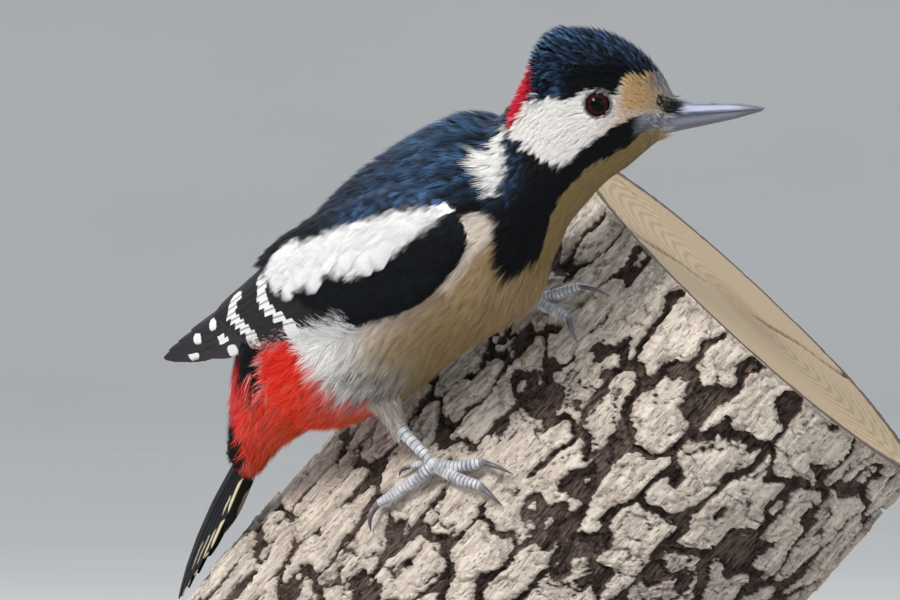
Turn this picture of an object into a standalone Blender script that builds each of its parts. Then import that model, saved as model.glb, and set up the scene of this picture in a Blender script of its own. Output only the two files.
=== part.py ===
"""Great spotted woodpecker, adult male, life size, clinging to a cut length of trunk on a display stand.

Units are metres with +Z up.  X runs the way the bill points, Y from the viewer's side to the far side.
Every solid comes from named sizes: the body is one loft of sections that is parted at the neck, the wings
lie on an envelope round the back, and the feet are laid on the surface of the trunk length.
"""

import math

import bmesh
import bpy
import numpy as np

MM = 0.001
GAP = 0.3  # clearance left between neighbouring solids, mm

# Where the middle of the bird sits above the underside of the base, with the shift that centres the model.
DATUM = np.array([-19.4, -50.0, 126.0])

# ---- body ----------------------------------------------------------------------------------------------
# name: centre x, y, z; half height, half width; lean of the section's top in degrees, plus to the rear;
# turn of the section towards the viewer's side in degrees.
SECTIONS = {
    "bill_base": (53.0, -31.5, 44.3, 5.5, 4.8, -17.0, 0.0),
    "forehead": (49.4, -31.5, 45.9, 9.9, 8.8, -10.5, 0.0),
    "brow": (45.0, -31.5, 46.1, 14.1, 12.2, -8.5, 0.0),
    "eye_line": (39.8, -31.5, 46.3, 17.6, 14.4, -5.5, 0.0),
    "crown": (33.2, -31.5, 44.7, 21.4, 15.7, -0.5, 1.0),
    "hind_crown": (26.2, -31.3, 41.0, 23.5, 16.0, 5.6, 6.0),
    "nape": (21.0, -30.0, 31.1, 19.8, 16.4, 12.1, 18.0),
    "neck": (17.2, -28.2, 25.6, 19.8, 18.0, 15.0, 26.0),
    "shoulder": (12.3, -26.0, 23.9, 23.2, 20.0, 18.7, 33.0),
    "mantle": (5.7, -20.5, 19.1, 26.2, 21.6, 21.0, 38.0),
    "back": (-8.8, -7.0, 9.8, 26.2, 22.0, 25.4, 40.0),
    "belly": (-21.5, 7.1, -1.3, 24.8, 21.2, 29.2, 40.0),
    "flank": (-33.5, 20.0, -11.2, 21.6, 18.6, 28.4, 41.0),
    "rump": (-39.5, 26.3, -16.2, 17.1, 16.0, 28.9, 41.0),
    "vent": (-46.7, 38.0, -27.3, 9.8, 10.4, 32.0, 41.0),
    "under_tail": (-51.3, 48.7, -38.8, 5.3, 5.8, 29.0, 41.0),
}
HEAD_END, NECK_END = 6.1, 7.9  # where the loft is parted, counted in sections
BODY_END = 15.0
RING = 30  # points round a section
SQUARENESS, EGG = 2.25, 0.06  # how far a section is from an ellipse, and how much narrower it is at the back

# ---- wings ---------------------------------------------------------------------------------------------
# Stations along the body axis: distance ahead of the middle, envelope half height and half width, then
# the angles from the back at which the folded wing starts and ends.
WING = (
    (47.0, 22.2, 22.6, 64.0, 98.0),
    (44.0, 23.4, 23.4, 50.0, 106.0),
    (36.0, 25.6, 24.4, 38.0, 109.0),
    (22.0, 27.0, 24.8, 31.0, 109.0),
    (8.0, 27.0, 24.6, 26.0, 102.0),
    (-6.0, 26.2, 23.4, 21.0, 92.0),
    (-20.0, 24.6, 20.6, 15.0, 84.0),
    (-34.0, 22.0, 16.4, 9.0, 74.0),
    (-48.0, 19.4, 11.6, 6.0, 61.0),
    (-62.0, 17.6, 7.2, 6.0, 48.0),
    (-71.0, 16.6, 4.0, 10.0, 42.0),
    (-75.5, 16.0, 2.4, 18.0, 34.0),
)
WING_THICK, WING_TIP_THICK = 3.2, 1.3
AXIS_MIDDLE = np.array([-15.1, 0.0, 4.3])
AXIS_LEAN, AXIS_TURN = 35.5, 40.0  # the body axis: rise in the side view, and turn to the viewer's side

# ---- tail ----------------------------------------------------------------------------------------------
TAIL_TIP = np.array([-65.4, 80.0, -72.4])
# distance along the tail as a share, half width, thickness
TAIL = (
    (0.0, 5.2, 7.0),
    (0.12, 7.4, 5.0),
    (0.35, 9.4, 3.4),
    (0.6, 8.8, 2.8),
    (0.8, 6.4, 2.4),
    (0.93, 3.2, 1.9),
    (1.0, 0.9, 1.2),
)
TAIL_SLOPE = 36.0  # how far each half falls away from the ridge
TAIL_ROLL = 14.0

# ---- bill and eyes -------------------------------------------------------------------------------------
BILL_TIP = np.array([76.3, -31.5, 46.3])
BILL_LENGTH_SHARES = (0.0, 0.2, 0.45, 0.7, 0.9, 1.0)
BILL_UPPER = (4.3, 3.6, 2.9, 2.1, 1.1, 0.45)  # height above the gape at those shares
BILL_LOWER = (4.0, 3.3, 2.5, 1.7, 0.8, 0.35)
BILL_HALF_WIDTH = (4.4, 3.7, 3.0, 2.3, 1.5, 0.9)
EYE_CENTRE = np.array([36.0, -31.5, 48.0])
EYE_RADIUS, EYE_OUT = 4.1, 11.7  # ball radius, and how far its centre stands off the head's midline

# ---- trunk length --------------------------------------------------------------------------------------
LOG_AXIS = np.array([0.659, -0.121, 0.742])
LOG_FACE = np.array([-0.718, -0.397, 0.572])  # the side that the bird clings to
LOG_MIDDLE = np.array([46.1, 44.2, -33.7])
LOG_ACROSS, LOG_DEEP = 70.0, 55.0  # half widths of its section
LOG_TOP, LOG_FOOT_LEVEL = 42.0, -91.0  # sawn across its axis above, and level below

# ---- legs ----------------------------------------------------------------------------------------------
# Points are x, y, z from the middle of the bird.  Toes give x and z in the side view, and y comes from
# the bark: the knuckle, the toe's tip and the claw's tip.
LEGS = {
    "right": {
        "hip": (-24.0, 6.0, -9.0),
        "ankle": (-12.9, 4.6, -31.2),
        "foot": (-3.6, -3.0, -40.6),
        "thigh": (8.5, 2.7),
        "toes": {
            "outer": ((-9.0, -45.2), (-17.7, -50.3), (-19.4, -57.0)),
            "fore": ((2.6, -41.6), (8.2, -39.6), (15.4, -42.6)),
            "inner": ((2.4, -44.6), (8.0, -45.6), (12.9, -50.4)),
            "hind": ((-6.6, -40.2), (-9.4, -41.0), (-12.4, -43.4)),
        },
    },
    "left": {
        "hip": (-13.0, 14.0, -4.0),
        "ankle": (6.2, 9.0, -7.6),
        "foot": (21.6, 0.2, -0.4),
        "thigh": (8.5, 2.7),
        "toes": {
            "outer": ((22.2, 5.6), (21.8, 11.0), (20.4, 16.4)),
            "fore": ((26.8, 1.4), (32.4, 3.4), (39.4, 0.8)),
            "inner": ((25.4, -2.4), (29.4, -4.6), (31.2, -10.4)),
            "hind": ((19.8, 1.6), (17.6, 3.2), (15.6, 6.6)),
        },
    },
}
TOE_ROOT, TOE_TIP, CLAW_ROOT = 1.75, 1.25, 1.05
TARSUS_RADIUS = 1.5
STUB = 4.6  # length of the tarsus that belongs to the foot, above the toes
HEEL = 1.9  # the tarsus leaves the thigh at a slant, so it starts this far below the ankle
CLAW_GAP = 0.95  # a claw leaves its toe at a slant, so it starts this far on

# ---- stand ---------------------------------------------------------------------------------------------
BASE_RADIUS, BASE_THICK, BASE_EDGE = 101.0, 14.0, 2.0
BASE_CENTRE = np.array([19.4, 50.0])
ROD_RADIUS = 4.5
RODS = {"stand_rod_fore": (34.0, 52.0), "stand_rod_rear": (-26.0, 58.0)}

COLOURS = {
    "feather_black": (0.012, 0.013, 0.018),
    "feather_buff": (0.42, 0.31, 0.19),
    "horn": (0.18, 0.2, 0.23),
    "leg_scale": (0.33, 0.34, 0.35),
    "eye_gloss": (0.05, 0.012, 0.01),
    "bark": (0.3, 0.24, 0.19),
    "base_wood": (0.06, 0.035, 0.02),
    "rod_metal": (0.5, 0.5, 0.52),
}


def clear_scene():
    for obj in list(bpy.data.objects):
        bpy.data.objects.remove(obj, do_unlink=True)
    bpy.context.scene.unit_settings.system = "METRIC"
    bpy.context.scene.unit_settings.scale_length = 1.0


def unit(v):
    v = np.asarray(v, float)
    return v / np.linalg.norm(v)


def smooth(rows, at):
    """Catmull-Rom through equally spaced rows, at a position counted in rows."""
    rows = np.asarray(rows, float)
    i = int(min(max(math.floor(at), 0), len(rows) - 2))
    t = at - i
    p1, p2 = rows[i], rows[i + 1]
    p0 = rows[i - 1] if i > 0 else 2 * p1 - p2
    p3 = rows[i + 2] if i + 2 < len(rows) else 2 * p2 - p1
    square = 2 * p0 - 5 * p1 + 4 * p2 - p3
    cube = 3 * p1 - p0 - 3 * p2 + p3
    return 0.5 * (2 * p1 + (p2 - p0) * t + square * t * t + cube * t**3)


def circle(count):
    """Angles, cosines and sines of equal steps round a circle."""
    angles = 2 * math.pi * np.arange(count) / count
    return zip(angles, np.cos(angles), np.sin(angles))


def material(name):
    mat = bpy.data.materials.get(name)
    if mat is None:
        mat = bpy.data.materials.new(name)
        mat.use_nodes = True
        shader = mat.node_tree.nodes["Principled BSDF"]
        shader.inputs["Base Color"].default_value = (*COLOURS[name], 1.0)
        shader.inputs["Roughness"].default_value = 0.25 if name in ("eye_gloss", "rod_metal") else 0.6
        shader.inputs["Metallic"].default_value = 1.0 if name == "rod_metal" else 0.0
    return mat


def add(name, points, faces, mat, helper=False):
    mesh = bpy.data.meshes.new(name)
    mesh.from_pydata(((np.asarray(points) + DATUM) * MM).tolist(), [], [tuple(f) for f in faces])
    work = bmesh.new()
    work.from_mesh(mesh)
    bmesh.ops.recalc_face_normals(work, faces=work.faces)
    work.to_mesh(mesh)
    work.free()
    mesh.shade_smooth()
    obj = bpy.data.objects.new(name, mesh)
    bpy.context.scene.collection.objects.link(obj)
    obj.data.materials.append(material(mat))
    if helper:
        obj.hide_render = True
        obj.display_type = "WIRE"
    return obj


def loft(rings):
    """A closed skin over rings of equal length, with a centre point in each end."""
    count, around = len(rings), len(rings[0])
    points = [p for ring in rings for p in ring]
    points += [np.mean(rings[0], axis=0), np.mean(rings[-1], axis=0)]
    faces = []
    for i in range(count - 1):
        for j in range(around):
            k = (j + 1) % around
            faces.append((i * around + j, i * around + k, (i + 1) * around + k, (i + 1) * around + j))
    first, last = count * around, count * around + 1
    for j in range(around):
        k = (j + 1) % around
        faces.append((first, k, j))
        faces.append((last, (count - 1) * around + j, (count - 1) * around + k))
    return points, faces


def boolean(obj, other, operation):
    modifier = obj.modifiers.new(operation.lower() + "_" + other.name, "BOOLEAN")
    modifier.operation = operation
    modifier.solver = "EXACT"
    modifier.object = other
    return modifier


# ---- body loft -----------------------------------------------------------------------------------------
def section(at):
    x, y, z, high, wide, lean, turn = smooth(list(SECTIONS.values()), at)
    lean, turn = math.radians(lean), math.radians(turn)
    up = np.array([-math.sin(lean), 0.0, math.cos(lean)])
    ahead = np.array([math.cos(lean), 0.0, math.sin(lean)])
    side = np.array([0.0, -1.0, 0.0]) * math.cos(turn) - ahead * math.sin(turn)
    return np.array([x, y, z]), up, side, high, wide


def body_ring(at, grow=0.0):
    centre, up, side, high, wide = section(at)
    ring = []
    for _, c, s in circle(RING):
        full = (abs(c) ** SQUARENESS + abs(s) ** SQUARENESS) ** (-1 / SQUARENESS)
        egg = 1.0 - EGG * c
        ring.append(centre + up * (high + grow) * c * full + side * (wide * egg + grow) * s * full)
    return ring


def body_part(start, end, steps, grow=0.0):
    return loft([body_ring(at, grow) for at in np.linspace(start, end, steps)])


def build_body():
    head_gap, neck_gap = 0.05, 0.025  # in sections, which stand 5 to 12 mm apart there
    head = add("head", *body_part(0.0, HEAD_END - head_gap, 17), "feather_black")
    add("neck", *body_part(HEAD_END + head_gap, NECK_END - neck_gap, 6), "feather_black")
    add("trunk", *body_part(NECK_END + neck_gap, BODY_END, 18), "feather_buff")
    grown = add("cut_trunk", *body_part(NECK_END - 0.4, BODY_END, 20, GAP), "feather_buff", helper=True)
    longer = add("cut_neck_trunk", *body_part(4.6, BODY_END, 28, GAP), "feather_buff", helper=True)
    return head, grown, longer


# ---- wings ---------------------------------------------------------------------------------------------
def body_axes():
    lean, turn = math.radians(AXIS_LEAN), math.radians(AXIS_TURN)
    ahead = np.array([math.cos(turn) * math.cos(lean), -math.sin(turn), math.cos(turn) * math.sin(lean)])
    up = np.array([-math.sin(lean), 0.0, math.cos(lean)])
    return ahead, up, unit(np.cross(ahead, up))


def wing_rings(sign, first, stations=16, across=7):
    ahead, up, right = body_axes()
    rings = []
    for share in np.linspace(0.0, 1.0, stations):
        along, high, wide, top, low = smooth(WING, first + share * (len(WING) - 1 - first))
        thick = WING_THICK + (WING_TIP_THICK - WING_THICK) * share**0.8
        inner = 0.5 if share > 0.5 else 0.9
        arcs = []
        for offset in (thick * 0.5, -thick * inner):
            arc = []
            for angle in np.radians(np.linspace(top, low, across)):
                over = up * (high + offset) * math.cos(angle)
                out = right * sign * max((wide + offset) * math.sin(angle), 0.45)
                arc.append(AXIS_MIDDLE + ahead * along + over + out)
            arcs.append(arc)
        rings.append(arcs[0] + arcs[1][::-1])
    return rings


def build_wings(grown, longer):
    # The neck bends to the left, so the left wing starts further back and is cut by the neck too.
    for name, sign, first, cutter in (("wing_right", 1.0, 0.0, grown), ("wing_left", -1.0, 0.8, longer)):
        wing = add(name, *loft(wing_rings(sign, first)), "feather_black")
        boolean(wing, cutter, "DIFFERENCE")


# ---- tail ----------------------------------------------------------------------------------------------
def build_tail(grown):
    centre, up, side, _, _ = section(BODY_END)
    start = centre + unit(TAIL_TIP - centre) * GAP
    along = unit(TAIL_TIP - start)
    right = unit(side - along * (side @ along))
    top = unit(np.cross(along, right))
    if top @ up < 0:
        top = -top
    c, s = math.cos(math.radians(TAIL_ROLL)), math.sin(math.radians(TAIL_ROLL))
    right, top = right * c - top * s, top * c + right * s
    slope = math.tan(math.radians(TAIL_SLOPE))
    rings = []
    for share, wide, thick in TAIL:
        middle = start + (TAIL_TIP - start) * share + top * 1.4 * math.sin(math.pi * share)
        across = np.linspace(-1.0, 1.0, 7)
        upper, lower = [], []
        for k in across:
            fall = -abs(k) * wide * slope * 0.8
            rim = 0.45 + 0.55 * (1 - abs(k) ** 3)
            upper.append(middle + right * k * wide * 0.9 + top * (fall + thick * 0.5 * rim + wide * 0.25))
            lower.append(middle + right * k * wide * 0.9 + top * (fall - thick * 0.5 * rim + wide * 0.25))
        rings.append(upper + lower[::-1])
    tail = add("tail", *loft(rings), "feather_black")
    boolean(tail, grown, "DIFFERENCE")


# ---- bill and eyes -------------------------------------------------------------------------------------
def build_bill():
    centre, up, side, _, _ = section(0.0)
    root = centre + unit(BILL_TIP - centre) * (GAP + 0.1)
    for name, heights, sign in (("bill_upper", BILL_UPPER, 1.0), ("bill_lower", BILL_LOWER, -1.0)):
        rings = []
        for share, high, wide in zip(BILL_LENGTH_SHARES, heights, BILL_HALF_WIDTH):
            length = 1.0 if sign > 0 else 0.965
            middle = root + (BILL_TIP - root) * share * length
            tilt = up * (1 - share) + np.array([0.0, 0.0, 1.0]) * share
            ring = []
            for j in range(13):
                angle = math.pi * j / 12
                s, c = math.sin(angle) ** 0.85, math.cos(angle)
                ring.append(middle + side * wide * c + tilt * sign * (high * s + GAP / 2))
            rings.append(ring)
        add(name, *loft(rings), "horn")


def ball(centre, radius, around=16, rows=9):
    rings = []
    for i in range(1, rows):
        high, wide = math.cos(math.pi * i / rows), math.sin(math.pi * i / rows)
        rings.append([centre + radius * np.array([wide * c, high, wide * s]) for _, c, s in circle(around)])
    points, faces = loft(rings)
    points[-2] = centre + radius * np.array([0.0, 1.0, 0.0])
    points[-1] = centre - radius * np.array([0.0, 1.0, 0.0])
    return points, faces


def build_eyes(head):
    for name, sign in (("eye_right", -1.0), ("eye_left", 1.0)):
        centre = EYE_CENTRE + np.array([0.0, sign * EYE_OUT, 0.0])
        add(name, *ball(centre, EYE_RADIUS), "eye_gloss")
        socket = add("cut_" + name, *ball(centre, EYE_RADIUS + GAP), "eye_gloss", helper=True)
        boolean(head, socket, "DIFFERENCE")


# ---- trunk length --------------------------------------------------------------------------------------
def log_axes():
    axis = unit(LOG_AXIS)
    face = unit(LOG_FACE - axis * (LOG_FACE @ axis))
    return axis, face, np.cross(axis, face)


def log_radius(angle):
    plain = 1.0 / math.hypot(math.cos(angle) / LOG_DEEP, math.sin(angle) / LOG_ACROSS)
    away = 0.5 - 0.5 * math.cos(angle)  # bulges only on the side turned away from the bird
    return plain * (1.0 + away * (0.03 * math.sin(3 * angle + 0.6) + 0.02 * math.sin(5 * angle + 2.0)))


def log_height(point):
    """How far a point stands off the bark, measured out from the axis."""
    axis, face, across = log_axes()
    out = point - LOG_MIDDLE
    deep, wide = out @ face, out @ across
    return math.hypot(deep, wide) - log_radius(math.atan2(wide, deep))


def on_bark(x, z, height):
    """The point with this x and z that stands so far off the bark, on the viewer's side."""
    near, far = -70.0, 45.0
    for _ in range(40):
        middle = 0.5 * (near + far)
        if log_height(np.array([x, middle, z])) > height:
            near = middle
        else:
            far = middle
    return np.array([x, near, z])


def build_log():
    axis, face, across = log_axes()
    rings = []
    for share in np.linspace(0.0, 1.0, 9):
        ring = []
        for angle, c, s in circle(44):
            rim = LOG_MIDDLE + log_radius(angle) * (face * c + across * s)
            foot = (LOG_FOOT_LEVEL - rim[2]) / axis[2]
            ring.append(rim + axis * (foot + (LOG_TOP - foot) * share))
        rings.append(ring)
    add("perch_trunk", *loft(rings), "bark")


# ---- legs ----------------------------------------------------------------------------------------------
def tube(path, radii, around=10):
    rings = []
    guide = np.array([0.13, -0.35, 0.93])  # a direction that no leg, toe or claw runs along
    for i, point in enumerate(path):
        ahead = unit(path[min(i + 1, len(path) - 1)] - path[max(i - 1, 0)])
        first = unit(np.cross(ahead, guide))
        second = np.cross(ahead, first)
        rings.append([point + radii[i] * (first * c + second * s) for _, c, s in circle(around)])
    return loft(rings)


def bend(start, middle, end, steps):
    """Points of a quadratic curve from start to end, pulled towards middle."""
    shares = np.linspace(0, 1, steps)
    return [(1 - t) ** 2 * start + 2 * t * (1 - t) * middle + t * t * end for t in shares]


def build_leg(side, leg, grown):
    foot = np.array(leg["foot"])
    ankle, hip = np.array(leg["ankle"]), np.array(leg["hip"])
    wide, narrow = leg["thigh"]
    path = [hip + (ankle - hip) * t for t in (0.0, 0.3, 0.6, 0.85, 1.0)]
    radii = [wide, wide * 0.95, wide * 0.62, narrow, narrow * 0.75]
    thigh = add("thigh_" + side, *tube(path, radii, 14), "feather_buff")
    boolean(thigh, grown, "DIFFERENCE")
    down = unit(foot - ankle)
    shank = foot - ankle
    path = [ankle + down * HEEL, ankle + shank * 0.25, ankle + shank * 0.6, foot - down * (STUB + GAP)]
    tarsus = add("tarsus_" + side, *tube(path, [1.9, TARSUS_RADIUS, TARSUS_RADIUS, 1.45]), "leg_scale")
    boolean(tarsus, grown, "DIFFERENCE")
    pad = add("foot_" + side, *ball(foot + down * 0.25, 2.05, 12, 7), "leg_scale")
    stub = tube([foot, foot - down * STUB], [1.6, 1.45])
    boolean(pad, add("join_" + side + "_stub", *stub, "leg_scale", helper=True), "UNION")
    for toe, ((x1, z1), (x2, z2), (x3, z3)) in leg["toes"].items():
        small, arch = (0.75, 0.0) if toe == "hind" else (1.0, 1.2)
        knuckle, tip = on_bark(x1, z1, TOE_ROOT * small + arch), on_bark(x2, z2, TOE_TIP * small + 0.4)
        toe_path = bend(foot, knuckle, tip, 7)
        radii = small * np.linspace(TOE_ROOT, TOE_TIP, 7)
        part = add("join_" + side + "_" + toe, *tube(toe_path, radii), "leg_scale", helper=True)
        boolean(pad, part, "UNION")
        ahead = unit(toe_path[-1] - toe_path[-2])
        root = tip + ahead * CLAW_GAP
        end = on_bark(x3, z3, 0.5)
        axis = log_axes()[0]
        away = unit(root - LOG_MIDDLE - axis * ((root - LOG_MIDDLE) @ axis))
        top = 0.5 * (root + end) + away * (1.4 + 0.3 * np.linalg.norm(end - root))
        radii = [small * CLAW_ROOT * r for r in (1.0, 0.95, 0.84, 0.7, 0.55, 0.4, 0.25)]
        add("claw_" + side + "_" + toe, *tube(bend(root, top, end, 7), radii, 8), "horn")


# ---- stand ---------------------------------------------------------------------------------------------
def disc(centre, radius, low, high, edge, around):
    """A flat round solid whose upper rim is chamfered by edge."""
    middle = np.array([centre[0], centre[1], 0.0])
    rings = []
    for level, wide in ((low, radius), (high - edge, radius), (high, radius - edge)):
        rings.append([middle + np.array([wide * c, wide * s, level]) for _, c, s in circle(around)])
    return loft(rings)


def build_stand():
    floor = -DATUM[2]
    top = floor + BASE_THICK
    add("stand_base", *disc(BASE_CENTRE, BASE_RADIUS, floor, top, BASE_EDGE, 64), "base_wood")
    for name, place in RODS.items():
        add(name, *disc(place, ROD_RADIUS, top + GAP, LOG_FOOT_LEVEL - GAP, 0.4, 24), "rod_metal")


clear_scene()
head_node, trunk_cutter, long_cutter = build_body()
build_wings(trunk_cutter, long_cutter)
build_tail(trunk_cutter)
build_bill()
build_eyes(head_node)
build_log()
for which, sizes in LEGS.items():
    build_leg(which, sizes, trunk_cutter)
build_stand()
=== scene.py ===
import math

import bpy
import numpy as np
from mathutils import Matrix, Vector
from mathutils.kdtree import KDTree


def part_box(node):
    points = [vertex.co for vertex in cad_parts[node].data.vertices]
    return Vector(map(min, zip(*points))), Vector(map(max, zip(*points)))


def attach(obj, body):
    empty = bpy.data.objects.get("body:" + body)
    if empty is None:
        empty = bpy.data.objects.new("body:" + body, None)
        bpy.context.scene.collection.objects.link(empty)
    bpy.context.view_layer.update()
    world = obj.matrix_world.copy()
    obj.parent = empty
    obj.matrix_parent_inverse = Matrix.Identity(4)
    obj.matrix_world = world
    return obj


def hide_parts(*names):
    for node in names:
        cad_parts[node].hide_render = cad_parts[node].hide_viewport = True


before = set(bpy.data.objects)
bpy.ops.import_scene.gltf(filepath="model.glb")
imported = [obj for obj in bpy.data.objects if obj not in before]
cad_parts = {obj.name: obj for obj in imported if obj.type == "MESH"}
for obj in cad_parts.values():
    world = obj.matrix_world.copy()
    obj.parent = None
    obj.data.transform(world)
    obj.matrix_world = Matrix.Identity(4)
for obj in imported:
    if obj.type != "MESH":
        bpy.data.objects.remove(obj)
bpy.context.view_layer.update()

# Lengths are in mm from the middle of the bird, and the right eye's box ties them to the frame.
# plan is where the solids have the eyes, x and z where they lie here.
mm = 0.001
draw = np.random.default_rng(23)
eyes = {"x": 35.6, "z": 47.15, "midline": -31.5, "out": 11.7, "radius": 4.1, "plan": (36.0, 48.0)}
lowEye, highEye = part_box("eye_right")
eyePlace = np.array((lowEye + highEye) / 2) / mm
origin = eyePlace - np.array([eyes["plan"][0], eyes["midline"] - eyes["out"], eyes["plan"][1]])


def unit(v):
    v = np.asarray(v, float)
    return v / np.maximum(np.linalg.norm(v, axis=-1, keepdims=True), 1e-9)


def turns(count):
    # equally spaced angles over one turn
    return np.linspace(0, 2 * math.pi, count, endpoint=False)


def ramp(x, edge, soft):
    # 0 below the edge and 1 above it, over a width of soft
    return np.clip((x - edge) / soft + 0.5, 0.0, 1.0)


def curve(places, values):
    # a value that changes along a piece, read at the first of the places it is given
    return lambda at, *others: np.interp(at, places, values)


def pathLength(path):
    # the length from the start of a path to each of its points
    return np.concatenate([[0], np.cumsum(np.linalg.norm(np.diff(path, axis=0), axis=-1))])


def smooth(rows, at):
    # a smooth curve through equally spaced rows, read at positions counted in rows
    rows = np.asarray(rows, float)
    at = np.asarray(at, float)
    i = np.clip(np.floor(at).astype(int), 0, len(rows) - 2)
    t = (at - i)[..., None]
    p1, p2 = rows[i], rows[i + 1]
    p0 = np.where((i > 0)[..., None], rows[np.maximum(i - 1, 0)], 2 * p1 - p2)
    p3 = np.where((i + 2 < len(rows))[..., None], rows[np.minimum(i + 2, len(rows) - 1)], 2 * p2 - p1)
    square = 2 * p0 - 5 * p1 + 4 * p2 - p3
    cube = 3 * p1 - p0 - 3 * p2 + p3
    return 0.5 * (2 * p1 + (p2 - p0) * t + square * t * t + cube * t**3)


def drift(x, y, z, seed):
    # soft noise from about -1 to 1, smooth over a distance of 1
    total = 0.0
    for k, (p, q, r, s) in enumerate(np.random.default_rng(seed).uniform(0, 2 * math.pi, (6, 4))):
        reach = 1.0 + 0.35 * k
        first = x * math.cos(p) + y * math.sin(p) + z * math.cos(q)
        second = y * math.cos(s) - x * math.sin(s) + z * math.sin(q)
        total = total + np.sin(reach * first * 3 + r) * np.cos(reach * second * 2.3 + p)
    return total / 3.2


class Wire:
    # a shader value that takes part in sums
    def __init__(self, paint, socket):
        self.paint = paint
        self.socket = socket

    def work(self, operation, first, second):
        return self.paint.node("ShaderNodeMath", {"operation": operation}, {0: first, 1: second})

    def __add__(self, other):
        return self.work("ADD", self, other)

    def __sub__(self, other):
        return self.work("SUBTRACT", self, other)

    def __rsub__(self, other):
        return self.work("SUBTRACT", other, self)

    def __mul__(self, other):
        return self.work("MULTIPLY", self, other)

    __radd__ = __add__
    __rmul__ = __mul__


class Paint:
    # a material whose fixed values are given at once, and whose varying ones are wired afterwards
    def __init__(self, name, **fixed):
        self.material = bpy.data.materials.new(name)
        self.material.use_nodes = True
        self.tree = self.material.node_tree
        self.shader = self.tree.nodes["Principled BSDF"]
        for socket, value in fixed.items():
            self.shader.inputs[socket.replace("_", " ")].default_value = value

    def node(self, kind, settings=None, inputs=None, out=0):
        made = self.tree.nodes.new(kind)
        for key, value in (settings or {}).items():
            setattr(made, key, value)
        for key, value in (inputs or {}).items():
            if isinstance(value, Wire):
                self.tree.links.new(value.socket, made.inputs[key])
            else:
                made.inputs[key].default_value = value
        return Wire(self, made.outputs[out])

    def place(self):
        return self.node("ShaderNodeTexCoord", out="Object")

    def stored(self, name, out="Fac"):
        return self.node("ShaderNodeAttribute", {"attribute_name": name}, out=out)

    def noise(self, scale, detail=3.0, where=None, rough=0.5):
        vector = where or self.place()
        settings = {"Vector": vector, "Scale": scale, "Detail": detail, "Roughness": rough}
        return self.node("ShaderNodeTexNoise", inputs=settings)

    def stretch(self, scale, where=None):
        vectors = {0: where or self.place(), 1: scale}
        return self.node("ShaderNodeVectorMath", {"operation": "MULTIPLY"}, vectors)

    def between(self, value, low, high):
        settings = {"Value": value, "From Min": low, "From Max": high}
        return self.node("ShaderNodeMapRange", {"interpolation_type": "SMOOTHSTEP"}, settings)

    def mix(self, share, first, second, blend="MIX"):
        first, second = (value if isinstance(value, Wire) else (*value, 1.0) for value in (first, second))
        kind = {"data_type": "RGBA", "blend_type": blend}
        return self.node("ShaderNodeMix", kind, {"Factor": share, 6: first, 7: second}, out=2)

    def dim(self, colour, by):
        return self.mix(1.0, colour, by, "MULTIPLY")

    def feed(self, socket, value):
        self.tree.links.new(value.socket, self.shader.inputs[socket])

    def finish(self, colour, rough=None, bump=None):
        # bump holds a height, what a height of 1 stands for in metres, and a strength
        self.feed("Base Color", colour)
        if rough:
            self.feed("Roughness", rough)
        if bump:
            inputs = dict(zip(("Height", "Distance", "Strength"), bump))
            self.feed("Normal", self.node("ShaderNodeBump", inputs=inputs))
        return self.material


palette = {
    "black": (0.003, 0.0035, 0.005),
    "soot": (0.006, 0.005, 0.006),
    # a painted blue sheen for the ends of the black feathers
    "blue": (0.055, 0.125, 0.25),
    "white": (0.74, 0.735, 0.725),
    "cream": (0.69, 0.60, 0.53),
    "mist": (0.36, 0.37, 0.42),
    "steel": (0.25, 0.27, 0.34),
    # a greyer copy of the white: painted shade for the lobes of the wing
    "shadedWhite": (0.63, 0.635, 0.65),
    # a brighter copy of the white: painted light for the flank and its plumes
    "litWhite": (0.93, 0.93, 0.925),
    "buff": (0.36, 0.255, 0.14),
    "olive": (0.25, 0.175, 0.075),
    "pitch": (0.010, 0.015, 0.014),
    "belly": (0.42, 0.33, 0.20),
    "tan": (0.56, 0.37, 0.18),
    "ash": (0.22, 0.22, 0.24),
    "slate": (0.07, 0.07, 0.08),
    "red": (0.78, 0.035, 0.012),
    "crimson": (0.55, 0.008, 0.035),
    "orange": (0.80, 0.12, 0.02),
    "pink": (0.85, 0.42, 0.36),
    "lid": (0.16, 0.14, 0.14),
    "socket": (0.035, 0.03, 0.035),
    "secondary": (0.008, 0.007, 0.008),
    "primary": (0.022, 0.019, 0.025),
    "tail": (0.007, 0.007, 0.010),
    "tailEdge": (0.60, 0.53, 0.38),
}
colours = {name: np.array(value) for name, value in palette.items()}


def plumagePaint():
    paint = Paint("plumage", Specular_IOR_Level=0.1)
    coat = paint.stored("coat", "Color")
    fleck = paint.between(paint.noise(1400.0, 2.0), 0.25, 0.75)
    colour = paint.mix(fleck * 0.2, coat, paint.dim(coat, (0.55, 0.55, 0.6)))
    light = paint.node("ShaderNodeRGBToBW", inputs={0: coat})
    rough = paint.between(light, 0.0, 0.3) * 0.25 + 0.55
    return paint.finish(colour, rough, (paint.noise(2600.0, 2.0), 0.00012, 0.4))


vaneLook = {"shaft": (0.012, 0.010, 0.010), "barbs": 9.0, "slant": 30.0}


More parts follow.
